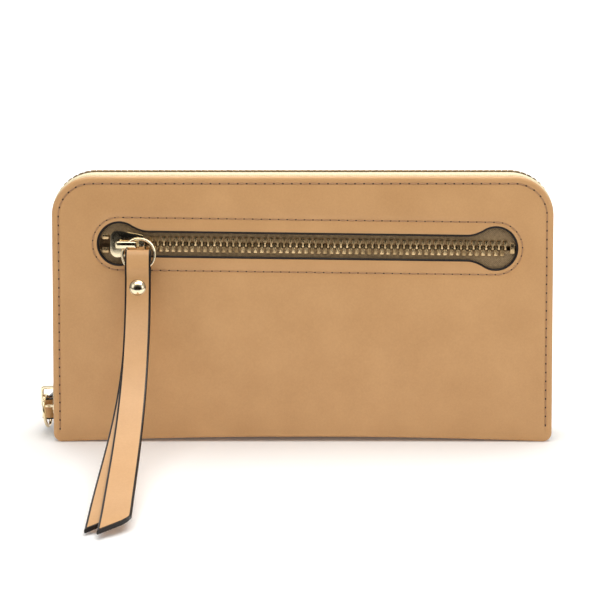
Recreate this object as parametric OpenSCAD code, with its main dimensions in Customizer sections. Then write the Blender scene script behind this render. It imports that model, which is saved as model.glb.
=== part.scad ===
// Zip-around wallet, standing on its spine: two stiffened covers, a metal zip round three
// sides, a zipped outer pocket in the front cover, card slots on both inner faces and a
// zipped coin page between them.
// Millimetres. +Z up, -Y to the front, origin at the middle of the spine's underside.

/* [Covers] */
// Width of the covers, left to right
cover_w = 190; // [180:1:205]
// Height of the covers above the surface they stand on
cover_h = 102; // [98:1:110]
// Depth of the closed wallet, front face to back face
wallet_t = 27; // [27:0.5:30]
// Radius of the covers' top corners
corner_r = 15; // [10:1:20]
// Thickness of the outer leather
leather_t = 1.2; // [1:0.1:1.4]

/* [Main zip] */
// How far the teeth's middle line stands out past the covers' edges
zip_rise = 0.85; // [0.6:0.05:1.2]
// Spacing of the teeth along one tape
tooth_pitch = 2.4; // [2:0.1:3]
// Height of the main slider's middle when the zip is closed
main_slider_z = 14.5; // [13:0.5:20]

/* [Front pocket] */
// Height of the pocket zip above the surface, at its slider
pocket_z = 76.6; // [72:0.2:80]
// How far the pocket zip runs downhill to the right, in degrees
pocket_tilt = 0.75; // [0:0.05:1]
// Middle of the window's left round end
window_x0 = -69.5; // [-72:0.5:-66]
// Middle of the window's right round end
window_x1 = 73.2; // [68:0.2:76]
// Radius of the window's round ends
window_end_r = 8.2; // [7.5:0.1:9]
// Height of the window's straight middle
window_slot_h = 9.6; // [9:0.1:11]
// Middle of the pocket slider when the pocket is closed
pocket_slider_x = -66.4; // [-68:0.2:-64]

/* [Pulls] */
// Width of the front leather pull
pull_w = 9.6; // [8:0.1:9.8]
// Width of the main zip's leather pull
main_pull_w = 8.4; // [7.6:0.1:8.6]
// Thickness of one layer of a pull
pull_t = 1.2; // [1:0.1:1.3]
// Length of the front pull along its curve
pull_len = 136; // [115:1:138]
// Length of the main zip's pull
main_pull_len = 76; // [50:1:90]
// Radius of a pull ring, to the middle of its wire
ring_r = 6.1; // [6:0.05:6.5]
// Radius of the ring's wire
wire_r = 0.6; // [0.5:0.05:0.65]

/* [Hidden] */
$fn = 48;

half_w = cover_w / 2;
front_y = -wallet_t / 2;
back_y = wallet_t / 2;
gap = 0.1;                          // between layers that lie on each other
tape_t = 0.4;
board_t = 0.9;
lining_t = 0.3;
panel_t = 0.5;
tier_t = 0.4;

// Where each layer of the front cover starts, counted inwards from its face.
front_leather_in = front_y + leather_t;
front_rim_in = front_y + 3.9;
front_flange = front_rim_in + gap;
front_board_y = front_flange + tape_t + gap;
front_lining_y = front_board_y + board_t + gap;
front_bill_y = front_lining_y + lining_t + gap;
front_tier_y = front_bill_y + panel_t + gap;
// The same for the back cover, counted inwards from its face.
back_leather_in = back_y - leather_t;
back_flange = back_leather_in - gap - tape_t;
back_board_y = back_flange - gap - board_t;
back_lining_y = back_board_y - 0.05 - lining_t;
back_bill_y = back_lining_y - gap - panel_t;
back_tier_y = back_bill_y - gap - tier_t;
tier_step = tier_t + 0.05;
tier_tops = [78, 66, 54];
panel_half_w = half_w - 9;          // card tiers and bill panels
lining_half_w = half_w - 3.5;
inner_base = 3;                     // where the inner layers start above the surface

spine_front = front_y + 1.6;        // leaves the front cover's fold room to turn
zip_y = 1.2;                        // middle plane of the main zip
flange_w = 7;                       // the tape sewn inside a cover
strip_out = 1.1;                    // outer face of the main tape past the covers
path_base = 4;                      // where the main tape and the path of the teeth start

tooth_w = 1.5;
tooth_len = 2.6;
tooth_t = 2.0;
row_gap = 0.3;                      // from the middle plane to the tips, so the slider's web passes

slider_len = 13;
slider_wide = 10.4;
slider_narrow = 7.4;
plate_t = 0.8;
plate_gap = 1.2;                    // middle of the tape to either plate
web_t = 0.3;
crown_len = 8.4;
crown_w = 2.4;
crown_t = 0.8;
tunnel_h = 3.18;
main_tunnel_h = 4.4;

// A point on the three-sided path, `rise` outside the covers' edge, as [x, z, angle of its outward normal].
function path_len(rise) = 2 * (cover_h - corner_r - path_base) + PI * (corner_r + rise) + 2 * (half_w - corner_r);
function on_path(s, rise) =
    let (r = corner_r + rise, side = cover_h - corner_r - path_base, arc = PI * r / 2,
         top = 2 * (half_w - corner_r), cx = half_w - corner_r, cz = cover_h - corner_r)
    s < side ? [-half_w - rise, path_base + s, 180] :
    s < side + arc ? let (a = 180 - (s - side) / r * 180 / PI) [-cx + r * cos(a), cz + r * sin(a), a] :
    s < side + arc + top ? [-cx + s - side - arc, cz + r, 90] :
    s < side + 2 * arc + top ? let (a = 90 - (s - side - arc - top) / r * 180 / PI)
        [cx + r * cos(a), cz + r * sin(a), a] :
    [half_w + rise, cz - (s - side - 2 * arc - top), 0];

// Outline of a cover in the XZ plane: square at the spine, round at the top corners.
function arch(inset, base, n = 12) =
    let (w = half_w - inset, top = cover_h - inset, r = corner_r - inset)
    concat([[-w, base], [w, base]],
           [for (i = [0:n]) [w - r + r * cos(90 * i / n), top - r + r * sin(90 * i / n)]],
           [for (i = [0:n]) [-w + r + r * cos(90 + 90 * i / n), top - r + r * sin(90 + 90 * i / n)]]);

// Stands a drawing of the XZ plane up, from y over a thickness towards the back.
module sheet_at(y, thickness) {
    translate([0, y + thickness, 0]) rotate([90, 0, 0]) linear_extrude(thickness) children();
}

module panel(y, thickness, width_half, base, top, r = 2) {
    sheet_at(y, thickness) polygon(concat(
        [[-width_half, base], [width_half, base]],
        [for (i = [0:4]) [width_half - r + r * cos(22.5 * i), top - r + r * sin(22.5 * i)]],
        [for (i = [0:4]) [-width_half + r + r * cos(90 + 22.5 * i), top - r + r * sin(90 + 22.5 * i)]]));
}

// Leans whatever belongs to the pocket zip over by its tilt, about the parked slider.
module tilted() {
    translate([pocket_slider_x, 0, pocket_z]) rotate([0, pocket_tilt, 0])
        translate([-pocket_slider_x, 0, -pocket_z]) children();
}

// Keyhole window: two round ends, a straight slot and short flares between them.
module window_outline(grow = 0) {
    flare = 6.5;
    for (end = [[window_x0, 1], [window_x1, -1]]) translate([end[0], pocket_z]) {
        circle(window_end_r + grow);
        polygon([for (i = [0:8]) let (t = i / 8, h = window_slot_h / 2 + grow
                    + (window_end_r - 1.6 - window_slot_h / 2) * (1 - sin(90 * t)))
                    [end[1] * (4.6 + flare * t), h],
                 [end[1] * (4.6 + flare), -(window_slot_h / 2 + grow)],
                 [end[1] * 4.6, -(window_end_r - 1.6 + grow)]]);
    }
    translate([window_x0, pocket_z - window_slot_h / 2 - grow])
        square([window_x1 - window_x0, window_slot_h + 2 * grow]);
}

// ---- Covers ----

module front_leather() {
    color([0.82, 0.63, 0.44]) {
        difference() {
            sheet_at(front_y, leather_t) polygon(arch(0, 0));
            tilted() sheet_at(front_y - 1, leather_t + 2) window_outline();
        }
        sheet_at(front_leather_in - 0.01, front_rim_in - front_leather_in) difference() {
            polygon(arch(0, 2));
            polygon(arch(leather_t, 1.9));
        }
    }
}

module back_leather() {
    color([0.80, 0.61, 0.42]) sheet_at(back_leather_in, leather_t) polygon(arch(0, leather_t + gap));
}

module spine_leather() {
    color([0.78, 0.58, 0.40]) translate([-half_w, spine_front, 0])
        cube([cover_w, back_y - spine_front, leather_t]);
}

module spine_lining() {
    color([0.70, 0.58, 0.44]) translate([-lining_half_w, spine_front + 1, leather_t + gap])
        cube([2 * lining_half_w, back_leather_in - spine_front - 1.2, lining_t]);
}

module front_board() {
    color([0.62, 0.56, 0.48]) sheet_at(front_board_y, board_t) polygon(arch(leather_t + 0.3, inner_base));
}

module back_board() {
    color([0.62, 0.56, 0.48]) sheet_at(back_board_y, board_t) polygon(arch(leather_t + 0.3, inner_base));
}

module front_lining() {
    color([0.74, 0.62, 0.48]) sheet_at(front_lining_y, lining_t) polygon(arch(3.5, inner_base));
}

module back_lining() {
    color([0.74, 0.62, 0.48]) sheet_at(back_lining_y, lining_t) polygon(arch(3.5, inner_base));
}

module front_bill_panel() {
    color([0.80, 0.62, 0.44]) panel(front_bill_y, panel_t, panel_half_w, inner_base, 90);
}

module back_bill_panel() {
    color([0.80, 0.62, 0.44]) panel(back_bill_y, panel_t, panel_half_w, inner_base, 90);
}

module front_card_tier(k) {
    color([0.84 - 0.02 * k, 0.66 - 0.02 * k, 0.47])
        panel(front_tier_y + (k - 1) * tier_step, tier_t, panel_half_w, inner_base, tier_tops[k - 1]);
}

module back_card_tier(k) {
    color([0.84 - 0.02 * k, 0.66 - 0.02 * k, 0.47])
        panel(back_tier_y - (k - 1) * tier_step, tier_t, panel_half_w, inner_base, tier_tops[k - 1]);
}

// Pleated side of the inside, from lining to lining.
module gusset(side) {
    y0 = front_lining_y + lining_t + 0.15;
    y1 = back_lining_y - 0.15;
    folds = 4;
    line = [for (i = [0:folds]) [side * (half_w - (i % 2 == 0 ? 4.4 : 9.2)), y0 + (y1 - y0) * i / folds]];
    color([0.66, 0.52, 0.38]) translate([0, 0, inner_base]) linear_extrude(84)
        polygon(concat([for (p = line) p - [0.2, 0]], [for (i = [folds:-1:0]) line[i] + [0.2, 0]]));
}

// ---- Main zip ----

module main_tape(flange_y, y_from, y_to) {
    color([0.93, 0.85, 0.66]) {
        sheet_at(flange_y, tape_t) difference() {
            polygon(arch(-strip_out, path_base));
            polygon(arch(flange_w, path_base - 1));
        }
        sheet_at(y_from, y_to - y_from) difference() {
            polygon(arch(-strip_out, path_base));
            polygon(arch(-strip_out + tape_t, path_base - 1));
        }
    }
}

// One tooth: its tip towards +Y, its foot on the tape.
module tooth(scale_by = 1) {
    w = tooth_w * scale_by / 2;
    l = tooth_len * scale_by;
    t = tooth_t * scale_by;
    translate([0, -row_gap, -t / 2]) linear_extrude(t)
        polygon([[-w * 0.6, 0], [w * 0.6, 0], [w, -l * 0.25], [w, -l], [-w, -l], [-w, -l * 0.25]]);
}

module main_teeth(row) {
    // The left run starts above the closed slider.
    start = main_slider_z + slider_len / 2 + 1.5 - path_base;
    length = path_len(zip_rise) - start - 3;
    color([0.70, 0.62, 0.42]) for (i = [0:floor(length / tooth_pitch) - 1]) {
        p = on_path(start + (i + (row < 0 ? 0 : 0.5)) * tooth_pitch, zip_rise);
        translate([p[0], zip_y, p[1]]) rotate([0, 90 - p[2], 0])
            mirror([0, row < 0 ? 0 : 1, 0]) tooth();
    }
}

module main_stops(row) {
    color([0.75, 0.66, 0.42]) for (side = [-1, 1])
        translate([side * (half_w + zip_rise) - 1.1, zip_y + (row < 0 ? -2.6 : 0.6), path_base + 0.2])
            cube([2.2, 2, side < 0 ? 2.4 : 2]);
}

// Slider seen from outside: the zip runs along X, its wide end is at -X, +Z points out.
module slider_plate(shrink = 0) {
    wide = slider_wide / 2 - shrink;
    narrow = slider_narrow / 2 - shrink;
    n = 8;
    polygon(concat(
        [for (i = [0:n]) [-slider_len / 2 + 2.6 - 2.6 * cos(90 - 90 * i / n), -wide * (0.45 + 0.55 * sin(90 - 90 * i / n))]],
        [for (i = [0:n]) [-slider_len / 2 + 2.6 - 2.6 * cos(90 * i / n), wide * (0.45 + 0.55 * sin(90 * i / n))]],
        [[slider_len / 2 - 1.5, narrow], [slider_len / 2, narrow - 1.5],
         [slider_len / 2, -narrow + 1.5], [slider_len / 2 - 1.5, -narrow]]));
}

module slider(inner_shrink = 0, gap_in = plate_gap, gap_out = plate_gap, tunnel = tunnel_h) {
    top = gap_out + plate_t;
    color([0.86, 0.78, 0.58]) {
        translate([0, 0, gap_out]) linear_extrude(plate_t) slider_plate();
        translate([0, 0, -gap_in - plate_t]) linear_extrude(plate_t) slider_plate(inner_shrink);
        translate([-5.4, -web_t / 2, -gap_in - 0.2]) cube([3, web_t, gap_in + gap_out + 0.4]);
        // Bridge that carries the ring
        translate([0, crown_w / 2, 0]) rotate([90, 0, 0]) linear_extrude(crown_w) difference() {
            polygon([[-crown_len / 2, top - 0.1], [crown_len / 2, top - 0.1], [crown_len / 2, top + tunnel],
                     [crown_len / 2 - 0.8, top + tunnel + crown_t], [-crown_len / 2 + 0.8, top + tunnel + crown_t],
                     [-crown_len / 2, top + tunnel]]);
            translate([-crown_len / 2 + 1.1, top]) square([crown_len - 2.2, tunnel]);
        }
    }
}

module wire_ring() {
    rotate_extrude() translate([ring_r, 0]) circle(wire_r, $fn = 20);
}

module main_slider() {
    translate([-half_w - zip_rise, zip_y, main_slider_z]) rotate([0, -90, 0])
        slider(tunnel = main_tunnel_h);
}

main_pivot = [-half_w - zip_rise - plate_gap - plate_t - main_tunnel_h + wire_r + 0.15, zip_y, main_slider_z + 0.4];
main_ring_lean = -6;                // the ring's lower side lies in against the wallet
main_ring_mid = main_pivot + ring_r * [-sin(main_ring_lean), 0, -cos(main_ring_lean)];

module main_ring() {
    color([0.88, 0.80, 0.60]) translate(main_ring_mid) rotate([0, main_ring_lean, 0]) rotate([0, 90, 0]) wire_ring();
}

// ---- Leather pulls ----

loop_half = 1.5;                    // half the room inside the loop
rivet_r = 3;

// Side view of a strip folded in two, along +X from its fold at 0, with a loop for the ring.
// bend(s) is the turn of the strip at length s, in degrees.
function run(s, bend, step = 0.5) = s <= 0 ? [0, 0] :
    let (n = max(1, ceil(s / step)), d = s / n) [
        d * add([for (i = [0:n - 1]) cos(bend(d * (i + 0.5)))]),
        d * add([for (i = [0:n - 1]) sin(bend(d * (i + 0.5)))])];
function add(v, i = 0) = i < len(v) ? v[i] + add(v, i + 1) : 0;
function off_run(s, v, bend) = run(s, bend) + v * [-sin(bend(s)), cos(bend(s))];
function half_gap(s, loop) = s < loop - 4 ? loop_half : s < loop ? 0.06 + (loop_half - 0.06) * (1 + cos(180 * (s - loop + 4) / 4)) / 2 : 0.06;

module folded_strip(length, loop, bend) {
    r = loop_half;
    stations = concat([r + pull_t], [for (s = [4:1.5:loop]) s], [for (i = [1:14]) loop + 0.8 + (length - loop - 0.8) * i / 14]);
    last = len(stations) - 1;
    fold_mid = r + pull_t;
    outer_fold = [for (i = [1:7]) let (a = 90 + 180 * i / 8) run(fold_mid, bend) + (r + pull_t) * [cos(a), sin(a)]];
    inner_fold = [for (i = [1:5]) let (a = 270 - 180 * i / 6) run(fold_mid, bend) + r * [cos(a), sin(a)]];
    polygon(concat(
        [for (i = [last:-1:0]) off_run(stations[i], half_gap(stations[i], loop) + pull_t, bend)],
        outer_fold,
        [for (i = [0:last]) off_run(stations[i], -half_gap(stations[i], loop) - pull_t, bend)],
        [for (i = [last:-1:0]) off_run(stations[i], -half_gap(stations[i], loop), bend)],
        inner_fold,
        [for (i = [0:last]) off_run(stations[i], half_gap(stations[i], loop), bend)]));
}

// The strip at full width, centred on Y, with its end cut on a slant.
module pull(length, loop, bend, slant, width) {
    tip = run(length, bend);
    color([0.86, 0.68, 0.47]) difference() {
        translate([0, width / 2, 0]) rotate([90, 0, 0]) linear_extrude(width) folded_strip(length, loop, bend);
        translate([tip[0], -width / 2, tip[1]]) rotate([0, -bend(length), 0]) rotate([0, 0, slant])
            translate([0, -40, -20]) cube([40, 80, 40]);
        rivet_hole(loop);
    }
}

// The hole through both layers, with a shallow seat pressed into each face by the rivet.
module rivet_hole(loop) {
    translate([loop + rivet_r + 0.4, 0, 0]) {
        cylinder(h = 12, r = 1.2, center = true);
        for (side = [0, 1]) mirror([0, 0, side]) translate([0, 0, pull_t + 0.04]) cylinder(h = 4, r = rivet_r + 0.1);
    }
}

module rivet_cap() {
    color([0.90, 0.82, 0.62]) {
        rotate_extrude() polygon([[0, 0], [rivet_r, 0], [rivet_r, 0.3], [rivet_r - 0.2, 0.6], [2.2, 1.0], [1.2, 1.25], [0, 1.35]]);
        translate([0, 0, -2 * pull_t - 0.1]) cylinder(h = 2 * pull_t + 0.2, r = 1.1);
    }
}

module rivet_back() {
    color([0.85, 0.76, 0.55]) difference() {
        cylinder(h = 0.8, r = rivet_r - 0.2);
        translate([0, 0, -1]) cylinder(h = 3, r = 1.15);
    }
}

// Front pull: hangs from its ring, then sweeps forward to rest its tip on the surface.
pull_off = 1.15;                    // the pull turns a little inside the ring's lowest point
ring_lean = 22;                     // the ring's lower side hangs outwards
ring_turn = 39.7;                   // where on the ring the slider's bridge holds it, above its left side
ring_down = [0, -sin(ring_lean), -cos(ring_lean)];
pocket_tape_y = front_leather_in + gap + tape_t / 2;
pocket_gap_out = plate_gap + 0.55;
pocket_pivot = [pocket_slider_x, pocket_tape_y - pocket_gap_out - plate_t - 1.8, pocket_z];
pocket_ring_mid = pocket_pivot + ring_r * (cos(ring_turn) * [1, 0, 0] + sin(ring_turn) * ring_down);
pull_hang = pocket_ring_mid + (ring_r - pull_off) * ring_down;
pull_start_turn = 14;               // from the vertical, at the fold
pull_end_turn = 76;                 // from the vertical, at the tip
pull_straight = 14;                 // length before it starts to bend
pull_loop = 11;
pull_fold_at = 6.7;                 // from where it turns to the outside of the fold
pull_side = 2.8;                    // the pull drifts to the right as it comes forward
function pull_bend(s) = s < pull_straight ? 0 :
    (pull_end_turn - pull_start_turn) * (1 - pow(1 - min(1, (s - pull_straight) / (pull_len - pull_straight - 4)), 2.5));

// Puts a pull's own frame in place: X down along the pull, Z out to the front.
module at_pocket_pull() {
    translate(pull_hang) rotate([0, 0, pull_side]) rotate([-pull_start_turn, 0, 0])
        rotate([0, 90, -90]) translate([-pull_fold_at, 0, 0]) children();
}

module pocket_ring() {
    color([0.90, 0.82, 0.62]) translate(pocket_ring_mid) rotate([90 - ring_lean, 0, 0]) wire_ring();
}

module pocket_pull() {
    at_pocket_pull() pull(pull_len, pull_loop, function(s) pull_bend(s), 40, pull_w);
}

module at_rivet(loop, v) {
    translate([loop + rivet_r + 0.4, 0, v]) children();
}

module pocket_rivet_cap() {
    at_pocket_pull() at_rivet(pull_loop, pull_t + 0.1) rivet_cap();
}

module pocket_rivet_back() {
    at_pocket_pull() at_rivet(pull_loop, -pull_t - 0.1) mirror([0, 0, 1]) rivet_back();
}

// Main pull: stands on its edge beside the wallet and runs back to the surface.
main_hang = main_ring_mid + [0, ring_r - pull_off, 0];
main_loop = 8;
main_fold_at = 3.4;
main_droop = 3.4;
module at_main_pull() {
    translate(main_hang) rotate([-main_droop, 0, 0]) rotate([-90, 0, 90])
        translate([-main_fold_at, 0, 0]) children();
}

module main_pull() {
    at_main_pull() pull(main_pull_len, main_loop, function(s) 0, 30, main_pull_w);
}

module main_rivet_cap() {
    at_main_pull() at_rivet(main_loop, pull_t + 0.1) rivet_cap();
}

module main_rivet_back() {
    at_main_pull() at_rivet(main_loop, -pull_t - 0.1) mirror([0, 0, 1]) rivet_back();
}

// ---- Front pocket ----

pocket_first = pocket_slider_x + slider_len / 2 + 1.2;
pocket_last = window_x1 + 5;
pocket_teeth_n = floor((pocket_last - pocket_first) / tooth_pitch);
pocket_tape_x = 84;

module pocket_tape(side) {
    color([0.50, 0.42, 0.28]) tilted() sheet_at(pocket_tape_y - tape_t / 2, tape_t) difference() {
        translate([-pocket_tape_x, pocket_z + (side > 0 ? 0.9 : -12)]) square([2 * pocket_tape_x, 11.1]);
        // The tapes part a little beside the parked slider
        translate([window_x0 - 8, pocket_z]) polygon([[-8, -1.8], [10, -0.5], [10, 0.5], [-8, 1.8]]);
    }
}

module pocket_teeth(row) {
    color([0.66, 0.56, 0.34]) tilted() for (i = [0:pocket_teeth_n - 1])
        translate([pocket_first + (i + (row < 0 ? 0 : 0.5)) * tooth_pitch, pocket_tape_y, pocket_z])
            rotate([90, 0, 0]) mirror([0, row < 0 ? 0 : 1, 0]) tooth();
}

module pocket_top_stops() {
    color([0.72, 0.62, 0.38]) tilted() for (side = [-1, 1])
        translate([window_x0 - 6.6, pocket_tape_y - 1, pocket_z + side * 2.6 - 1]) cube([2.6, 2, 2]);
}

module pocket_end_stop() {
    color([0.72, 0.62, 0.38]) tilted() translate([pocket_last + 0.6, pocket_tape_y - 1, pocket_z - 2]) cube([1.8, 2, 4]);
}

module pocket_bag_front() {
    color([0.72, 0.60, 0.46]) sheet_at(front_leather_in + gap, lining_t)
        translate([-82, 12]) square([164, pocket_z - 12 - 14.5]);
}

module pocket_bag_back() {
    color([0.72, 0.60, 0.46]) sheet_at(front_flange, lining_t) translate([-82, 12]) square([164, 82]);
}

module pocket_slider() {
    tilted() translate([pocket_slider_x, pocket_tape_y, pocket_z]) rotate([90, 0, 0])
        slider(gap_out = pocket_gap_out);
}

// ---- Coin page ----

page_front = -1.2;
page_back = 4;
page_wall_t = 0.5;
page_half_w = 84;
page_base = 4;
page_top = 85.4;
coin_y = (page_front + page_back) / 2;
coin_z = page_top + 1.8;
coin_scale = 0.72;
coin_pitch = 1.9;
coin_slider_x = -74;

module page_hinge_strip() {
    color([0.60, 0.48, 0.36]) translate([-page_half_w, coin_y - 0.2, leather_t + lining_t + 2 * gap])
        cube([2 * page_half_w, 0.4, 1.7]);
}

module coin_wall(y) {
    color([0.83, 0.65, 0.46]) sheet_at(y, page_wall_t)
        translate([-page_half_w, page_base]) square([2 * page_half_w, page_top - page_base]);
}

module coin_gusset() {
    color([0.66, 0.52, 0.38]) sheet_at(page_front + page_wall_t + 0.05, page_back - page_front - 2 * page_wall_t - 0.1)
        difference() {
            translate([-page_half_w, page_base]) square([2 * page_half_w, page_top - page_base - 3]);
            translate([-page_half_w + 0.6, page_base + 0.6]) square([2 * page_half_w - 1.2, page_top]);
        }
}

module coin_tape(side) {
    y = side < 0 ? page_front + 0.1 : coin_y + 0.7;
    color([0.55, 0.46, 0.32]) translate([-page_half_w, y, coin_z - tape_t / 2])
        cube([2 * page_half_w, coin_y - 0.7 - page_front - 0.1, tape_t]);
}

module coin_teeth(row) {
    first = coin_slider_x + slider_len * coin_scale / 2 + 1;
    n = floor((page_half_w - 4 - first) / coin_pitch);
    color([0.72, 0.63, 0.40]) for (i = [0:n - 1])
        translate([first + (i + (row < 0 ? 0 : 0.5)) * coin_pitch, coin_y, coin_z])
            mirror([0, row < 0 ? 0 : 1, 0]) tooth(coin_scale);
}

module coin_stops() {
    color([0.72, 0.62, 0.38]) for (x = [-page_half_w + 1, page_half_w - 3])
        translate([x, coin_y - 1.4, coin_z - 0.8]) cube([1.6, 2.8, 1.6]);
}

coin_bridge = 1.6;
module coin_slider() {
    translate([coin_slider_x, coin_y, coin_z]) scale(coin_scale)
        slider(inner_shrink = 1.1, gap_in = plate_gap + 0.1, tunnel = coin_bridge);
}

// A flat metal tab with an eye that the slider's bridge passes through.
coin_pivot = [coin_slider_x + 1.6, coin_y, coin_z + coin_scale * (plate_gap + plate_t + coin_bridge / 2)];
module coin_tab() {
    color([0.88, 0.80, 0.60]) translate(coin_pivot) difference() {
        union() {
            translate([0, -2.2, -0.4]) cube([12.2, 4.4, 0.8]);
            rotate([90, 0, 0]) cylinder(h = 4.4, r = 0.4, center = true);
        }
        translate([0.5, -1.1, -1]) cube([2.8, 2.2, 2]);
    }
}

spine_leather();
spine_lining();
page_hinge_strip();
back_leather();
back_board();
back_lining();
back_bill_panel();
back_card_tier(1);  // back_card_tier_1
back_card_tier(2);  // back_card_tier_2
back_card_tier(3);  // back_card_tier_3
front_leather();
front_board();
front_lining();
front_bill_panel();
front_card_tier(1);  // front_card_tier_1
front_card_tier(2);  // front_card_tier_2
front_card_tier(3);  // front_card_tier_3
gusset(-1);  // gusset_left
gusset(1);  // gusset_right
main_tape(front_flange, front_flange, zip_y - 0.9);  // main_tape_front
main_tape(back_flange, zip_y + 0.9, back_flange + tape_t);  // main_tape_back
main_teeth(-1);  // main_teeth_front
main_teeth(1);  // main_teeth_back
main_stops(-1);  // main_stops_front
main_stops(1);  // main_stops_back
main_slider();
main_ring();
main_pull();
main_rivet_cap();
main_rivet_back();
pocket_tape(1);  // pocket_tape_upper
pocket_tape(-1);  // pocket_tape_lower
pocket_teeth(1);  // pocket_teeth_upper
pocket_teeth(-1);  // pocket_teeth_lower
pocket_top_stops();
pocket_end_stop();
pocket_bag_front();
pocket_bag_back();
pocket_slider();
pocket_ring();
pocket_pull();
pocket_rivet_cap();
pocket_rivet_back();
coin_wall(page_front);  // coin_wall_front
coin_wall(page_back - page_wall_t);  // coin_wall_back
coin_gusset();
coin_tape(-1);  // coin_tape_front
coin_tape(1);  // coin_tape_back
coin_teeth(-1);  // coin_teeth_front
coin_teeth(1);  // coin_teeth_back
coin_stops();
coin_slider();
coin_tab();
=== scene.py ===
from math import atan2, cos, pi, radians, sin, sqrt

import bmesh
import bpy
from mathutils import Matrix, Vector


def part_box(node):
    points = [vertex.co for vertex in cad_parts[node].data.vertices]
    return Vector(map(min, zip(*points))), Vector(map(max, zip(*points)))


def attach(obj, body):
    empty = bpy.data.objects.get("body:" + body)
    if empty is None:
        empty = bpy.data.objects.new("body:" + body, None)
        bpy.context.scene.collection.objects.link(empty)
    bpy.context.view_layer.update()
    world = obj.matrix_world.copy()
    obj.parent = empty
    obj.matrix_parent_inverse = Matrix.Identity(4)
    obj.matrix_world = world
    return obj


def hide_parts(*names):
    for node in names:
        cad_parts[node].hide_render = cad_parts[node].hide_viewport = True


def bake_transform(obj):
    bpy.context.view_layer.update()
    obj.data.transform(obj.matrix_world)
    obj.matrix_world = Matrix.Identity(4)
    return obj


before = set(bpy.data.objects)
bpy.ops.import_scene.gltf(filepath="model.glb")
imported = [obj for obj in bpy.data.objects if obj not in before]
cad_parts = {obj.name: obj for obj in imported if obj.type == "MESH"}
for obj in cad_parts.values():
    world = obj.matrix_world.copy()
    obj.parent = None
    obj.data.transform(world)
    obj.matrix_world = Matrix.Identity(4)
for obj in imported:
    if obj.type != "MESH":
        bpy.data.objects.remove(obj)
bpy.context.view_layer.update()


# ---- Camera, lights and floor ----
# A level table with a white sweep behind it. The key light is a large soft one above and a
# little behind, with weaker ones in front and at each side. The camera looks slightly down.
cam_data = bpy.data.cameras.new("camera")
cam_data.lens = 77.46
cam_data.sensor_width = 36
cam_data.shift_x = -0.0045
cam_data.shift_y = -0.1385
camera = bpy.data.objects.new("camera", cam_data)
camera.location = (0, -0.5, 0.13)
camera.rotation_euler = (radians(90 - 5.07), 0, 0)
bpy.context.scene.collection.objects.link(camera)
bpy.context.scene.camera = camera
bpy.context.scene.view_settings.view_transform = "Standard"


def soft_light(name, place, aim, size, watts, tint=(1, 1, 1)):
    lamp = bpy.data.lights.new(name, "AREA")
    lamp.shape = "RECTANGLE"
    lamp.size, lamp.size_y = size
    lamp.energy = watts
    lamp.color = tint
    light = bpy.data.objects.new(name, lamp)
    light.location = place
    light.rotation_euler = (Vector(aim) - Vector(place)).to_track_quat("-Z", "Y").to_euler()
    bpy.context.scene.collection.objects.link(light)


soft_light("top_softbox", (0.05, 0.10, 0.62), (0, -0.04, 0.0), (0.6, 0.35), 2.7, (1, 0.985, 0.95))
soft_light("front_softbox", (0.0, -0.24, 0.42), (0, -0.02, 0.10), (0.5, 0.2), 0.85, (1, 0.97, 0.92))
soft_light("left_softbox", (-0.75, -0.55, 0.45), (0, 0, 0.05), (0.5, 0.5), 0.7)
soft_light("right_softbox", (0.8, -0.6, 0.35), (0, 0, 0.05), (0.5, 0.5), 0.9)

world = bpy.data.worlds.new("studio")
world.use_nodes = True
sky = world.node_tree.nodes
sky_links = world.node_tree.links
sky_place = sky.new("ShaderNodeTexCoord")
sky_split = sky.new("ShaderNodeSeparateXYZ")
sky_ramp = sky.new("ShaderNodeValToRGB")
sky_ramp.color_ramp.elements[0].position = 0.02
sky_ramp.color_ramp.elements[0].color = (0.42, 0.42, 0.43, 1)
sky_ramp.color_ramp.elements[1].position = 0.55
sky_ramp.color_ramp.elements[1].color = (1, 1, 1, 1)
sky_links.new(sky_place.outputs["Generated"], sky_split.inputs[0])
sky_links.new(sky_split.outputs["Z"], sky_ramp.inputs[0])
# The room behind the camera is dim, which is what the polished metal faces mirror.
sky_room = sky.new("ShaderNodeMapRange")
sky_room.interpolation_type = "SMOOTHSTEP"
sky_room.inputs["From Min"].default_value = -0.95
sky_room.inputs["From Max"].default_value = -0.62
sky_room.inputs["To Min"].default_value = 0.04
sky_links.new(sky_split.outputs["Y"], sky_room.inputs["Value"])
sky_dim = sky.new("ShaderNodeVectorMath")
sky_dim.operation = "SCALE"
sky_links.new(sky_ramp.outputs[0], sky_dim.inputs[0])
sky_links.new(sky_room.outputs[0], sky_dim.inputs["Scale"])
sky_rays = sky.new("ShaderNodeLightPath")
sky_seen = sky.new("ShaderNodeMix")
sky_seen.data_type = "RGBA"
sky_seen.inputs[7].default_value = (2.3, 2.3, 2.3, 1)
sky_links.new(sky_rays.outputs["Is Camera Ray"], sky_seen.inputs[0])
sky_links.new(sky_dim.outputs[0], sky_seen.inputs[6])
sky_links.new(sky_seen.outputs[2], sky["Background"].inputs["Color"])
sky["Background"].inputs["Strength"].default_value = 0.46
bpy.context.scene.world = world

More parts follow.
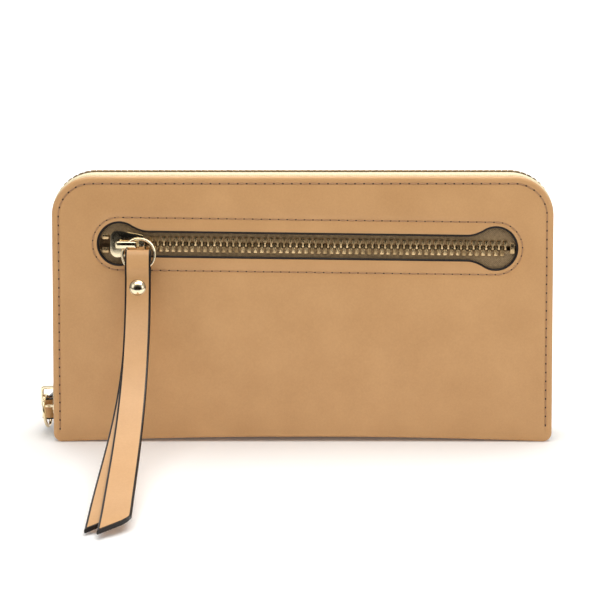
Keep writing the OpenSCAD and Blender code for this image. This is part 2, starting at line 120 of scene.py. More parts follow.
floor_mesh = bpy.data.meshes.new("floor")
TABLE_FRONT, SWEEP_R, SWEEP_TOP, HALF_WIDTH = -0.45, 0.5, 2.2, 2.5
sweep = [(TABLE_FRONT, 0.0)]
for step in range(13):
    a = step * pi / 24
    sweep.append((SWEEP_R + SWEEP_R * sin(a), SWEEP_R - SWEEP_R * cos(a)))
sweep.append((2 * SWEEP_R, SWEEP_TOP))
floor_mesh.from_pydata(
    [(x, y, z) for y, z in sweep for x in (-HALF_WIDTH, HALF_WIDTH)], [],
    [(2 * i, 2 * i + 1, 2 * i + 3, 2 * i + 2) for i in range(len(sweep) - 1)])
floor_mesh.shade_smooth()
floor = bpy.data.objects.new("floor", floor_mesh)
bpy.context.scene.collection.objects.link(floor)
paper = bpy.data.materials.new("white_paper")
paper.use_nodes = True
paper_shader = paper.node_tree.nodes["Principled BSDF"]
paper_shader.inputs["Base Color"].default_value = (0.93, 0.93, 0.93, 1)
paper_shader.inputs["Roughness"].default_value = 0.9
paper_shader.inputs["Specular IOR Level"].default_value = 0.1
paper_shader.inputs["Emission Color"].default_value = (1, 1, 1, 1)
# The paper glows, a painted light that is faint on the table and grows towards the sweep behind it, so the sweep
# is brighter than the table itself.
paper_nodes = paper.node_tree.nodes
paper_place = paper_nodes.new("ShaderNodeTexCoord")
paper_split = paper_nodes.new("ShaderNodeSeparateXYZ")
paper_glow = paper_nodes.new("ShaderNodeMapRange")
paper_glow.interpolation_type = "SMOOTHSTEP"
paper_glow.inputs["From Min"].default_value = 0.02
paper_glow.inputs["From Max"].default_value = 0.4
paper_glow.inputs["To Min"].default_value = 0.06
paper_glow.inputs["To Max"].default_value = 0.6
paper.node_tree.links.new(paper_place.outputs["Object"], paper_split.inputs[0])
paper.node_tree.links.new(paper_split.outputs["Y"], paper_glow.inputs["Value"])
paper.node_tree.links.new(paper_glow.outputs[0], paper_shader.inputs["Emission Strength"])
floor_mesh.materials.append(paper)


# ---- Front cover ----
# Smooth coated leather turned over a stiffener, with its edge folded back towards the zip.
# A keyhole-shaped window for the outer pocket is cut out and its raw edge is painted dark.
COVER_W, COVER_H, DEPTH, CORNER = 190.0, 102.0, 27.0, 15.0
WINDOW_X0, WINDOW_X1, WINDOW_R, SLOT = -69.5, 73.2, 8.2, 4.8
SLIDER_X, ZIP_Z, TILT = -66.4, 76.6, radians(0.75)


def line(p, q, n, ease=0.0):
    out = []
    for i in range(n):
        t = i / n
        t -= ease * sin(2 * pi * t) / (2 * pi)
        out.append((p[0] + (q[0] - p[0]) * t, p[1] + (q[1] - p[1]) * t))
    return out


def arc(cx, cz, r, a0, a1, n):
    return [(cx + r * cos(radians(a0 + (a1 - a0) * i / n)), cz + r * sin(radians(a0 + (a1 - a0) * i / n)))
            for i in range(n)]


def cover_contour(inset):
    w, top, base = COVER_W / 2 - inset, COVER_H - inset, inset
    r, rb = max(CORNER - inset, 0.6), max(3.5 - inset, 0.4)
    return (line((-w + r, top), (w - r, top), 180) + arc(w - r, top - r, r, 90, 0, 24)
            + line((w, top - r), (w, base + rb), 60) + arc(w - rb, base + rb, rb, 0, -90, 10)
            + line((w - rb, base), (-w + rb, base), 180) + arc(-w + rb, base + rb, rb, -90, -180, 10)
            + line((-w, base + rb), (-w, top - r), 60) + arc(-w + r, top - r, r, 180, 90, 24))


def tilted(x, z):
    dx, dz = x - SLIDER_X, z - ZIP_Z
    return SLIDER_X + dx * cos(TILT) + dz * sin(TILT), ZIP_Z + dz * cos(TILT) - dx * sin(TILT)


def keyhole_height(d):
    if d < 4.8:
        return sqrt(WINDOW_R ** 2 - d * d)
    t = min(1.0, (d - 4.8) / 6.5)
    return SLOT + (sqrt(WINDOW_R ** 2 - 4.8 ** 2) - SLOT) * (1 - sin(pi / 2 * t)) ** 1.15


def keyhole(grow):
    """The window's outline, grown outwards, in the same runs as a cover contour."""
    top = []
    for x, _ in line((WINDOW_X0, 0), (WINDOW_X1, 0), 180, 0.75):
        d = min(x - WINDOW_X0, WINDOW_X1 - x)
        top.append((x, keyhole_height(d)))
    raw = (top + arc(WINDOW_X1, 0, WINDOW_R, 90, -90, 94)
           + [(WINDOW_X0 + WINDOW_X1 - x, -h) for x, h in top]
           + arc(WINDOW_X0, 0, WINDOW_R, 270, 90, 94))
    out = []
    n = len(raw)
    for i, (x, z) in enumerate(raw):
        (ax, az), (bx, bz) = raw[i - 1], raw[(i + 1) % n]
        tx, tz = bx - ax, bz - az
        size = sqrt(tx * tx + tz * tz)
        out.append(tilted(x - grow * tz / size, ZIP_Z + z + grow * tx / size))
    return out


def stadium(r):
    raw = (line((WINDOW_X0, r), (WINDOW_X1, r), 180, 0.4) + arc(WINDOW_X1, 0, r, 90, -90, 94)
           + line((WINDOW_X1, -r), (WINDOW_X0, -r), 180, 0.4) + arc(WINDOW_X0, 0, r, 270, 90, 94))
    return [tilted(x, ZIP_Z + z) for x, z in raw]


def settle(x, y, z):
    """The covers splay a little towards the spine, whose middle lifts off the table."""
    flare = 1 + 0.0085 * (1 - z / COVER_H)
    low = max(0.0, 1 - z / 26) ** 2
    return x * flare, y, z + 1.9 * max(0.0, 1 - (x / 92) ** 2) * low * min(1.0, (y / 12.5) ** 2)


def puff(x, z):
    """How far the padding lifts the middle of a cover."""
    across = max(0.0, 1 - (x / (COVER_W / 2)) ** 2) ** 0.6
    up = max(0.0, sin(pi * min(1.0, max(0.0, z / COVER_H)))) ** 0.7
    return 0.42 * across * up


def smooth(t):
    t = min(1.0, max(0.0, t))
    return t * t * (3 - 2 * t)


def loft(rings, capped=False):
    """Faces between closed rings of points; capped fills the first and the last ring."""
    n = len(rings[0])
    faces = []
    for k in range(len(rings) - 1):
        for i in range(n):
            j = (i + 1) % n
            faces.append((k * n + i, k * n + j, (k + 1) * n + j, (k + 1) * n + i))
    if capped:
        last = n * (len(rings) - 1)
        faces += [tuple(range(n)), tuple(last + i for i in range(n))]
    return [p for ring in rings for p in ring], faces


def piece(name, verts, faces, materials, face_materials=None, sharp=50, weld=False):
    """A mesh object from points in millimetres, with its normals facing out."""
    mesh = bpy.data.meshes.new(name)
    mesh.from_pydata([(x / 1000, y / 1000, z / 1000) for x, y, z in verts], [], faces)
    for m in materials:
        mesh.materials.append(m)
    if face_materials:
        mesh.polygons.foreach_set("material_index", face_materials)
    bm = bmesh.new()
    bm.from_mesh(mesh)
    if weld:
        bmesh.ops.remove_doubles(bm, verts=bm.verts, dist=2e-6)
    bmesh.ops.recalc_face_normals(bm, faces=bm.faces)
    bm.to_mesh(mesh)
    bm.free()
    mesh.shade_smooth()
    mesh.set_sharp_from_angle(angle=radians(sharp))
    obj = bpy.data.objects.new(name, mesh)
    bpy.context.scene.collection.objects.link(obj)
    return obj


def fit(obj, body, slot_name, *nodes):
    """Fixes a piece to its body, in the place of its CAD nodes."""
    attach(obj, body)
    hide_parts(*nodes)


def new_group(name, inputs, outputs):
    """An empty shader node group with float inputs (name, default) and typed outputs."""
    group = bpy.data.node_groups.new(name, "ShaderNodeTree")
    for label, default in inputs:
        kind = "NodeSocketColor" if isinstance(default, tuple) else "NodeSocketFloat"
        group.interface.new_socket(name=label, in_out="INPUT", socket_type=kind).default_value = default
    for label, kind in outputs:
        group.interface.new_socket(name=label, in_out="OUTPUT", socket_type=kind)
    return group, group.nodes.new("NodeGroupInput"), group.nodes.new("NodeGroupOutput")


def add_math(tree, operation, a, b, clamp=False):
    node = tree.nodes.new("ShaderNodeMath")
    node.operation = operation
    node.use_clamp = clamp
    for socket, value in zip(node.inputs, (a, b)):
        if isinstance(value, (int, float)):
            socket.default_value = value
        else:
            tree.links.new(value, socket)
    return node.outputs[0]


def add_mix(tree, factor, a, b, blend="MIX"):
    node = tree.nodes.new("ShaderNodeMix")
    node.data_type = "RGBA"
    node.blend_type = blend
    for socket, value in ((node.inputs[0], factor), (node.inputs[6], a), (node.inputs[7], b)):
        if isinstance(value, (int, float, tuple)):
            socket.default_value = value
        else:
            tree.links.new(value, socket)
    return node.outputs[2]


def add_noise(tree, scale, detail=3.0, coords=None, stretch=None):
    place = tree.nodes.new("ShaderNodeTexCoord").outputs["Object"] if coords is None else coords
    if stretch:
        mapping = tree.nodes.new("ShaderNodeMapping")
        mapping.inputs["Scale"].default_value = stretch
        tree.links.new(place, mapping.inputs["Vector"])
        place = mapping.outputs[0]
    node = tree.nodes.new("ShaderNodeTexNoise")
    node.inputs["Scale"].default_value = scale
    node.inputs["Detail"].default_value = detail
    tree.links.new(place, node.inputs["Vector"])
    return node.outputs["Fac"]


# Fine pebbled grain with faint creases, for every coated leather here.
grain, grain_in, grain_out = new_group(
    "leather_grain", [("Pebble", 1500.0), ("Crease", 0.35), ("Mottle", 60.0)],
    [("Height", "NodeSocketFloat"), ("Tone", "NodeSocketFloat")])
grain_place = grain.nodes.new("ShaderNodeTexCoord")
pebbles = grain.nodes.new("ShaderNodeTexVoronoi")
pebbles.feature = "SMOOTH_F1"
grain.links.new(grain_place.outputs["Object"], pebbles.inputs["Vector"])
grain.links.new(grain_in.outputs["Pebble"], pebbles.inputs["Scale"])
fine = add_noise(grain, 2600, 3)
creases = add_noise(grain, 420, 5)
crease_line = add_math(grain, "ABSOLUTE", add_math(grain, "SUBTRACT", creases, 0.5), 0)
crease_height = add_math(grain, "MULTIPLY", crease_line, grain_in.outputs["Crease"])
height = add_math(grain, "ADD", add_math(grain, "MULTIPLY", pebbles.outputs["Distance"], 0.6), crease_height)
height = add_math(grain, "ADD", height, add_math(grain, "MULTIPLY", fine, 0.25))
grain.links.new(height, grain_out.inputs["Height"])
mottle = grain.nodes.new("ShaderNodeTexNoise")
mottle.inputs["Detail"].default_value = 4
grain.links.new(grain_place.outputs["Object"], mottle.inputs["Vector"])
grain.links.new(grain_in.outputs["Mottle"], mottle.inputs["Scale"])
speck = add_math(grain, "SUBTRACT", add_noise(grain, 1400, 2), 0.5)
grain_tone = add_math(grain, "ADD", mottle.outputs["Fac"], add_math(grain, "MULTIPLY", speck, 0.5))
grain.links.new(grain_tone, grain_out.inputs["Tone"])

# Masks of the outward edges and of the hollows, from how the surface turns. The leather paints a highlight on the
# edges and shade in the folds with them, and the metal darkens its hollows.
edge_hollow_group, edge_hollow_in, edge_hollow_out = new_group(
    "edge_and_hollow_masks", [("Width", 2.0)], [("Outward", "NodeSocketFloat"), ("Sunk", "NodeSocketFloat")])
turn = edge_hollow_group.nodes.new("ShaderNodeNewGeometry").outputs["Pointiness"]
above = add_math(edge_hollow_group, "SUBTRACT", turn, 0.5)
scaled = add_math(edge_hollow_group, "MULTIPLY", above, edge_hollow_in.outputs["Width"])
edge_hollow_group.links.new(add_math(edge_hollow_group, "MULTIPLY", scaled, 6, True), edge_hollow_out.inputs["Outward"])
edge_hollow_group.links.new(add_math(edge_hollow_group, "MULTIPLY", scaled, -6, True), edge_hollow_out.inputs["Sunk"])


def add_group(tree, group, **values):
    node = tree.nodes.new("ShaderNodeGroup")
    node.node_tree = group
    for label, value in values.items():
        node.inputs[label].default_value = value
    return node


def new_material(name):
    m = bpy.data.materials.new(name)
    m.use_nodes = True
    return m, m.node_tree, m.node_tree.nodes["Principled BSDF"]


def add_bump(tree, shader, height, strength, distance):
    bumped = tree.nodes.new("ShaderNodeBump")
    bumped.inputs["Strength"].default_value = strength
    bumped.inputs["Distance"].default_value = distance
    tree.links.new(height, bumped.inputs["Height"])
    tree.links.new(bumped.outputs[0], shader.inputs["Normal"])


def leather(name, light, dark, roughness=0.46, pebble=1500.0, bump=0.3):
    m, tree, shader = new_material(name)
    g = add_group(tree, grain, Pebble=pebble)
    w = add_group(tree, edge_hollow_group, Width=2.0)
    tone = add_math(tree, "MULTIPLY", add_math(tree, "SUBTRACT", g.outputs["Tone"], 0.2), 1.5, True)
    base = add_mix(tree, tone, dark, light)
    # Painted shade darkens the folds and a painted highlight lightens the outward edges, both taken from how the
    # surface turns.
    painted_fold_shade = tuple(c * 0.55 for c in dark[:3]) + (1,)
    painted_edge_highlight = tuple(min(1, c * 1.15) for c in light[:3]) + (1,)
    base = add_mix(tree, add_math(tree, "MULTIPLY", w.outputs["Sunk"], 0.5), base, painted_fold_shade)
    base = add_mix(tree, add_math(tree, "MULTIPLY", w.outputs["Outward"], 0.3), base, painted_edge_highlight)
    tree.links.new(base, shader.inputs["Base Color"])
    rough = add_math(tree, "ADD", add_math(tree, "MULTIPLY", g.outputs["Height"], 0.12), roughness - 0.06)
    tree.links.new(rough, shader.inputs["Roughness"])
    add_bump(tree, shader, g.outputs["Height"], bump, 0.00012)
    shader.inputs["Specular IOR Level"].default_value = 0.42
    return m


def painted_edge(name):
    m, tree, shader = new_material(name)
    n = add_noise(tree, 900, 3)
    paint = add_mix(tree, n, (0.004, 0.003, 0.002, 1), (0.014, 0.008, 0.006, 1))
    tree.links.new(paint, shader.inputs["Base Color"])
    tree.links.new(add_math(tree, "ADD", add_math(tree, "MULTIPLY", n, 0.2), 0.22), shader.inputs["Roughness"])
    add_bump(tree, shader, n, 0.15, 0.0001)
    shader.inputs["Specular IOR Level"].default_value = 0.3
    return m


tan_leather = leather("tan_leather", (0.66, 0.375, 0.165, 1), (0.56, 0.305, 0.125, 1))
edge_paint = painted_edge("edge_paint")


def front_ring(contour, depth, rim=0.0):
    ring = []
    for x, z in contour:
        back = depth + rim * smooth((z - 1.0) / 3.5)
        ring.append(settle(x, -DEPTH / 2 + back, z))
    return ring


def between(a, b, t):
    return [(p[0] + (q[0] - p[0]) * t, p[1] + (q[1] - p[1]) * t) for p, q in zip(a, b)]


def groove(contour, depth):
    """Depth of the sewn groove, which stops short of the folded lower edge."""
    return [depth * smooth((z - 3.4) / 1.2) for x, z in contour]


rings = [front_ring(keyhole(0.0), 1.2), front_ring(keyhole(0.0), 0.4), front_ring(keyhole(0.14), 0.12),
         front_ring(keyhole(0.4), 0.0), front_ring(keyhole(0.9), -0.03)]
for r, depth in ((9.55, 0.0), (9.8, 0.1), (10.0, 0.17), (10.2, 0.1), (10.5, -0.03)):
    rings.append([(x, y - puff(x, z) * 0.3, z) for x, y, z in front_ring(stadium(r), depth)])
inner, outer = stadium(12.5), cover_contour(5.0)
for k in range(19):
    t = k / 18
    share = 0.45 + 0.55 * sin(pi * t)
    rings.append([(x, y - puff(x, z) * share, z) for x, y, z in front_ring(between(inner, outer, t), -0.08)])
for inset, depth in ((3.6, -0.05), (3.1, 0.0)):
    rings.append(front_ring(cover_contour(inset), depth))
for inset, depth in ((2.85, 0.11), (2.6, 0.18), (2.35, 0.11)):
    contour = cover_contour(inset)
    flat = front_ring(contour, 0.0)
    rings.append([(x, y + g, z) for (x, y, z), g in zip(flat, groove(contour, depth))])
# The rounded fold, as (inset, depth, rim), which the front and the back cover share.
FOLD = [(2.1, 0.0, 0), (1.5, -0.05, 0), (0.95, 0.0, 0), (0.5, 0.16, 0), (0.22, 0.4, 0), (0.05, 0.75, 0),
        (0.0, 1.1, 0)]
FRONT_TURN_IN = [(0.0, 1.2, 0.6), (0.0, 1.2, 1.8), (0.05, 1.2, 2.5), (0.3, 1.2, 2.7), (0.9, 1.2, 2.7)]
for inset, depth, rim in FOLD + FRONT_TURN_IN:
    rings.append(front_ring(cover_contour(inset), depth, rim))
verts, faces = loft(rings)
front_cover = piece("front_cover", verts, faces, [tan_leather])
fit(front_cover, "front_half", "cover_leather", "front_leather")


def closed_bead(points, radius, sides):
    """A round bead along a closed line of points."""
    rings = []
    n = len(points)
    for i in range(n):
        along = (Vector(points[(i + 1) % n]) - Vector(points[i - 1])).normalized()
        side = along.cross(Vector((0, 1, 0))).normalized()
        rise = side.cross(along).normalized()
        c = Vector(points[i])
        turn = [2 * pi * k / sides for k in range(sides)]
        rings.append([tuple(c + side * radius * cos(a) + rise * radius * sin(a)) for a in turn])
    rings.append(rings[0])
    return loft(rings)


bead = [(x, -DEPTH / 2 + 0.42, z) for x, z in keyhole(0.05)]
verts, faces = closed_bead(bead, 0.52, 10)
window_edge = piece("window_edge_paint", verts, faces, [edge_paint], weld=True)
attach(window_edge, "front_half")


def thread_material(name, color):
    m, tree, shader = new_material(name)
    n = add_noise(tree, 5200, 2)
    dark = tuple(c * 0.7 for c in color) + (1,)
    tree.links.new(add_mix(tree, n, dark, tuple(color) + (1,)), shader.inputs["Base Color"])
    add_bump(tree, shader, n, 0.5, 0.0001)
    shader.inputs["Roughness"].default_value = 0.6
    shader.inputs["Sheen Weight"].default_value = 0.1
    return m


tan_thread = thread_material("tan_thread", (0.52, 0.29, 0.14))
# Flat dark discs painted as the shade in the needle holes.
needle_hole_shade = thread_material("needle_hole_shade", (0.042, 0.016, 0.008))


def stitching(name, points, normal, pitch, body, hole=0.6, thread=0.26, lift=0.11, closed=False,
              mats=(tan_thread, needle_hole_shade)):
    """Evenly spaced stitches along a line of surface points: a proud thread between two dark discs of painted
    shade at the needle holes.
    """
    pts = [Vector(p) for p in points] + ([Vector(points[0])] if closed else [])
    run = [0.0]
    for a, b in zip(pts, pts[1:]):
        run.append(run[-1] + (b - a).length)
    count = round(run[-1] / pitch)
    pitch = run[-1] / count
    normal = Vector(normal)

    def at(s):
        s = min(max(s, 0.0), run[-1])
        lo, hi = 0, len(run) - 1
        while hi - lo > 1:
            mid = (lo + hi) // 2
            lo, hi = (mid, hi) if run[mid] <= s else (lo, mid)
        t = (s - run[lo]) / max(1e-9, run[hi] - run[lo])
        return pts[lo].lerp(pts[hi], t)

    verts, faces, which = [], [], []
    for i in range(count):
        s0 = (i + 0.5) * pitch
        a, b = at(s0 + pitch * 0.09), at(s0 + pitch * 0.91)
        if b == a:
            continue
        along = (b - a).normalized()
        side = along.cross(normal).normalized()
        if i < count - 1 or closed:
            first = len(verts)
            for k in range(7):
                t = k / 6
                c = at(s0 + pitch * (0.09 + 0.82 * t)) + normal * (lift + 0.16 * sin(pi * t) - 0.06)
                r = thread * (0.55 + 0.45 * max(0.0, sin(pi * t)) ** 0.5)
                verts += [tuple(c + side * r * cos(pi * j / 3) + normal * r * sin(pi * j / 3))
                          for j in range(6)]
            for a in range(first, first + 36, 6):
                faces += [(a + j, a + (j + 1) % 6, a + 6 + (j + 1) % 6, a + 6 + j) for j in range(6)]
            faces += [tuple(first + j for j in range(6)), tuple(first + 36 + j for j in range(6))]
            which += [0] * 38
        # A flat dark disc at each needle hole is painted shade where the pit is.
        c = at(s0)
        first = len(verts)
        verts.append(tuple(c + normal * lift * 0.9))
        long, wide = along * hole, side * hole * 0.85
        verts += [tuple(c + long * cos(pi * j / 5) + wide * sin(pi * j / 5) + normal * lift * 0.2)
                  for j in range(10)]
        faces += [(first, first + 1 + j, first + 1 + (j + 1) % 10) for j in range(10)]
        which += [1] * 10
    obj = piece(name, verts, faces, list(mats), which, sharp=60)
    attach(obj, body)


def sewn_edge(inset, side):
    """The seam's line round the left, top and right of a cover, from foot to foot."""
    c = cover_contour(inset)
    start = 180 + 24 + 60 + 10 + 180 + 10
    order = c[start:] + c[:180 + 24 + 60]
    return [settle(x, side * (DEPTH / 2 - 0.15), z) for x, z in order if z > 2.9]


stitching("front_edge_stitching", sewn_edge(2.6, -1), (0, -1, 0), 3.4, "front_half")
seam = [(x, y - puff(x, z) * 0.3, z) for x, y, z in front_ring(stadium(10.0), 0.15)]
stitching("pocket_frame_stitching", seam, (0, -1, 0), 3.25, "front_half", closed=True)


# ---- Spine and back cover ----
# One length of the same leather: it runs under the wallet from the front cover's fold and up
# the back, where it is turned in over the back stiffener and sewn on three sides.
rings = []
for k in range(9):
    t = k / 8
    mid = [(x * 0.55, COVER_H / 2 + (z - COVER_H / 2) * 0.012) for x, z in cover_contour(5.0)]
    share = 0.9 - 0.5 * t
    rings.append([settle(x, DEPTH / 2 + 0.02 + puff(x, z) * share, z)
                  for x, z in between(mid, cover_contour(5.0), t)])


def back_ring(contour, depth, rim=0.0):
    ring = []
    for x, z in contour:
        deep = depth + rim * smooth((z - 1.6) / 2.5) + 0.35 * (1 - smooth((z - 1.2) / 1.2))
        ring.append(settle(x, DEPTH / 2 - deep, max(z, 0.5)))
    return ring


for inset, depth in ((3.6, -0.1), (3.1, 0.0)):
    rings.append(back_ring(cover_contour(inset), depth))
for inset, depth in ((2.85, 0.11), (2.6, 0.18), (2.35, 0.11)):
    contour = cover_contour(inset)
    rings.append([(x, y - g, z) for (x, y, z), g in zip(back_ring(contour, 0.0), groove(contour, depth))])
for inset, depth, rim in FOLD + [(0.0, 1.2, 0.3), (0.3, 1.2, 0.55), (0.9, 1.2, 0.55)]:
    rings.append(back_ring(cover_contour(inset), depth, rim))
verts, faces = loft(rings)
faces.append(tuple(range(len(rings[0]))))
section = [(-12.55, 0.75), (-12.5, 0.35), (-12.25, 0.1), (-11.8, 0.0)]
section += [(-11.8 + 23.6 * i / 26, 0.0) for i in range(1, 27)]
section += [(DEPTH / 2 - 1.7 + 1.7 * sin(pi / 2 * i / 6), 1.7 - 1.7 * cos(pi / 2 * i / 6)) for i in range(1, 7)]
section += [(DEPTH / 2 - 0.02, 2.6), (DEPTH / 2 - 0.5, 3.0)]
section += [(DEPTH / 2 - 1.25, 2.6), (DEPTH / 2 - 1.7, 1.35)]
section += [(11.4 - 23.2 * i / 12, 1.2) for i in range(13)] + [(-12.3, 1.1)]
spine_rings = []
SPINE_END = 92.6
for i in range(65):
    x = -SPINE_END + 2 * SPINE_END * i / 64
    thin = min(1.0, 0.6 + min(x + SPINE_END, SPINE_END - x) / 1.2)
    spine_rings.append([settle(x, y, 0.6 + (z - 0.6) * thin) for y, z in section])
more_verts, more_faces = loft(spine_rings, capped=True)
shift = len(verts)
verts += more_verts
faces += [tuple(i + shift for i in f) for f in more_faces]
cover_wrap = piece("spine_and_back", verts, faces, [tan_leather], weld=True)
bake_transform(cover_wrap)
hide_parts("spine_leather", "back_leather")
stitching("back_edge_stitching", sewn_edge(2.6, 1), (0, 1, 0), 3.4, "back_half")


# ---- Stiffener boards ----
# Grey card glued inside each cover to keep it flat. Only their cut edges ever show.
board_card, tree, shader = new_material("board_card")
fibres = add_noise(tree, 700, 5, stretch=(1, 6, 1))
tree.links.new(add_mix(tree, fibres, (0.30, 0.25, 0.19, 1), (0.46, 0.40, 0.32, 1)), shader.inputs["Base Color"])
shader.inputs["Roughness"].default_value = 0.9
for name in ("front_board", "back_board"):
    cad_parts[name].data.materials.clear()
    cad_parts[name].data.materials.append(board_card)


# ---- Inside of the covers ----
# Each cover is lined with woven cloth. A full-width leather panel and three stepped card
# tiers are sewn over it, with a turned top edge and a divider seam down the middle.
weave, weave_in, weave_out = new_group(
    "weave", [("Threads", 2200.0)], [("Height", "NodeSocketFloat"), ("Tone", "NodeSocketFloat")])
weave_place = weave.nodes.new("ShaderNodeTexCoord").outputs["Object"]
weave_split = weave.nodes.new("ShaderNodeSeparateXYZ")
weave.links.new(weave_place, weave_split.inputs[0])
level = add_math(weave, "ADD", weave_split.outputs["X"], weave_split.outputs["Y"])
waves = []
for run in (level, weave_split.outputs["Z"]):
    waves.append(add_math(weave, "SINE", add_math(weave, "MULTIPLY", run, weave_in.outputs["Threads"]), 0))
crossed = add_math(weave, "MULTIPLY", waves[0], waves[1])
slub = add_noise(weave, 900, 3, weave_place)
weave_height = add_math(weave, "ADD", crossed, add_math(weave, "MULTIPLY", slub, 0.6))
weave.links.new(weave_height, weave_out.inputs["Height"])
weave_tone = add_math(weave, "ADD", add_math(weave, "MULTIPLY", crossed, 0.35), slub, True)
weave.links.new(weave_tone, weave_out.inputs["Tone"])


def cloth(name, dark, light, threads=2200.0, bump=0.5, roughness=0.85):
    m, tree, shader = new_material(name)
    g = add_group(tree, weave, Threads=threads)
    tree.links.new(add_mix(tree, g.outputs["Tone"], dark, light), shader.inputs["Base Color"])
    add_bump(tree, shader, g.outputs["Height"], bump, 0.00015)
    rough = add_math(tree, "ADD", add_math(tree, "MULTIPLY", g.outputs["Tone"], 0.1), roughness - 0.05)
    tree.links.new(rough, shader.inputs["Roughness"])
    shader.inputs["Sheen Weight"].default_value = 0.25
    shader.inputs["Sheen Roughness"].default_value = 0.5
    return m


lining_cloth = cloth("lining_cloth", (0.22, 0.13, 0.065, 1), (0.40, 0.26, 0.14, 1), threads=7000.0)
inner_leather = leather("inner_leather", (0.60, 0.34, 0.16, 1), (0.52, 0.29, 0.13, 1), roughness=0.5)


def panel_outline(half, base, top, r, inset, dip):
    w, t, b = half - inset, top - inset, base + inset
    r = max(0.2, r - inset)
    pts = [(-w, b + (t - b) * i / 12) for i in range(12)]
    pts += arc(-w + r, t - r, r, 180, 90, 7)
    for i in range(41):
        x = -w + r + 2 * (w - r) * i / 40
        pts.append((x, t - dip * max(0.0, 1 - (x / (w * 0.9)) ** 2)))
    pts += arc(w - r, t - r, r, 90, 0, 7) + [(w, t - (t - b) * i / 12) for i in range(13)]
    pts += [(w - 2 * w * i / 40, b) for i in range(1, 40)]
    return pts


def panel_piece(name, node, half, base, top, material, body, slot_name, corner=2.0, dip=0.0):
    """A thin sewn panel with soft edges, in the place of its CAD node."""
    low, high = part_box(node)
    y0, y1 = low[1] * 1000, high[1] * 1000
    t = y1 - y0
    rings = []
    rim = [(8.0, 1.0), (2.6, 1.0), (1.0, 1.0), (0.3, 0.93), (0.08, 0.75), (0.0, 0.5)]
    for inset, f in rim + [(inset, 1 - f) for inset, f in reversed(rim[:-1])]:
        rings.append([(x, y0 + t * f, z) for x, z in panel_outline(half, base, top, corner, inset, dip)])
    verts, faces = loft(rings, capped=True)
    obj = piece(name, verts, faces, [material])
    fit(obj, body, slot_name, node)
    return y0, y1


inner_thread = thread_material("inner_thread", (0.50, 0.29, 0.15))


def inner_seam(name, points, face, body):
    stitching(name, points, (0, face, 0), 3.0, body, hole=0.25, thread=0.15, lift=0.03,
              mats=(inner_thread, needle_hole_shade))


TIER_TOPS = (78, 66, 54)
for cover, body, face in (("front", "front_half", 1), ("back", "back_half", -1)):
    node = cover + "_lining"
    panel_piece(node + "_cloth", node, 91.5, 3, 98.5, lining_cloth, body, "lining_cloth", 11.5)
    panels = [("bill_panel", 90.0)] + [("card_tier_%d" % (k + 1), TIER_TOPS[k]) for k in range(3)]
    for label, top in panels:
        dip = 1.6 if label == "bill_panel" else 0.0
        node = "%s_%s" % (cover, label)
        y0, y1 = panel_piece(node + "_leather", node, 86, 3, top, inner_leather, body, "inner_leather", dip=dip)
        y = y1 if face > 0 else y0
        xs = [-84 + 168 * i / 60 for i in range(61)]
        edge = [(x, y, top - 1.7 - dip * max(0.0, 1 - (x / 77) ** 2)) for x in xs]
        inner_seam(node + "_seam", edge, face, body)
    inner_seam(cover + "_card_divider_seam", [(0, y, 5 + 47 * i / 20) for i in range(21)], face, body)

low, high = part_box("spine_lining")
y0, y1, z0 = low[1] * 1000, high[1] * 1000, low[2] * 1000
rows = []
for i in range(61):
    x = -91.5 + 183 * i / 60
    top_side = [(x, y0 + (y1 - y0) * j / 12, z0 + 0.28 - 0.11 * abs(sin(j * pi / 4))) for j in range(13)]
    rows.append(top_side + [(x, y1 - (y1 - y0) * j / 12, z0) for j in range(13)])
verts, faces = loft(rows, capped=True)
spine_cloth = piece("spine_lining_cloth", verts, faces, [lining_cloth], weld=True)
fit(spine_cloth, "back_half", "lining_cloth", "spine_lining")


# ---- Side gussets ----
# A pleated strip of lining cloth closes each side behind the zip. It is sewn to both linings.
for side, name in ((-1, "gusset_left"), (1, "gusset_right")):
    low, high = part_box(name)
    y0, y1 = low[1] * 1000, high[1] * 1000
    line_points = []
    for i in range(33):
        t = i / 32
        fold = 0.5 - 0.5 * cos(4 * pi * t)
        line_points.append((side * (90.6 - 4.8 * fold ** 0.85), y0 + (y1 - y0) * t))
    rings = []
    for j in range(22):
        z = 1.75 + (high[2] * 1000 - 1.95) * j / 21
        ease = 1 - 0.5 * smooth((z - 70) / 17)
        row = [(side * 90.6 + (x - side * 90.6) * ease, y, z) for x, y in line_points]
        inside = [(x - side * 0.13, y, z) for x, y, z in row]
        rings.append(inside + [(x + side * 0.13, y, z) for x, y, z in reversed(row)])
    verts, faces = loft(rings)
    n = len(rings[0])
    faces += [(i, i + 1, n - 2 - i, n - 1 - i) for i in range(n // 2 - 1)]
    faces += [(21 * n + i, 21 * n + i + 1, 21 * n + n - 2 - i, 21 * n + n - 1 - i) for i in range(n // 2 - 1)]
    pleats = piece(name + "_pleats", verts, faces, [lining_cloth])
    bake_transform(pleats)
    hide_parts(name)


# ---- Main zip tapes ----
# Cream woven tape, sewn inside each cover's turned edge and curving out to carry the teeth.
cream_tape = cloth("cream_tape", (0.78, 0.64, 0.38, 1), (0.95, 0.84, 0.58, 1), threads=9000.0, bump=0.35)
khaki_tape = cloth("khaki_tape", (0.12, 0.075, 0.035, 1), (0.44, 0.30, 0.15, 1), threads=9000.0, bump=0.6)
ZIP_Y, ZIP_RISE, PATH_BASE = 1.2, 0.85, 4.0


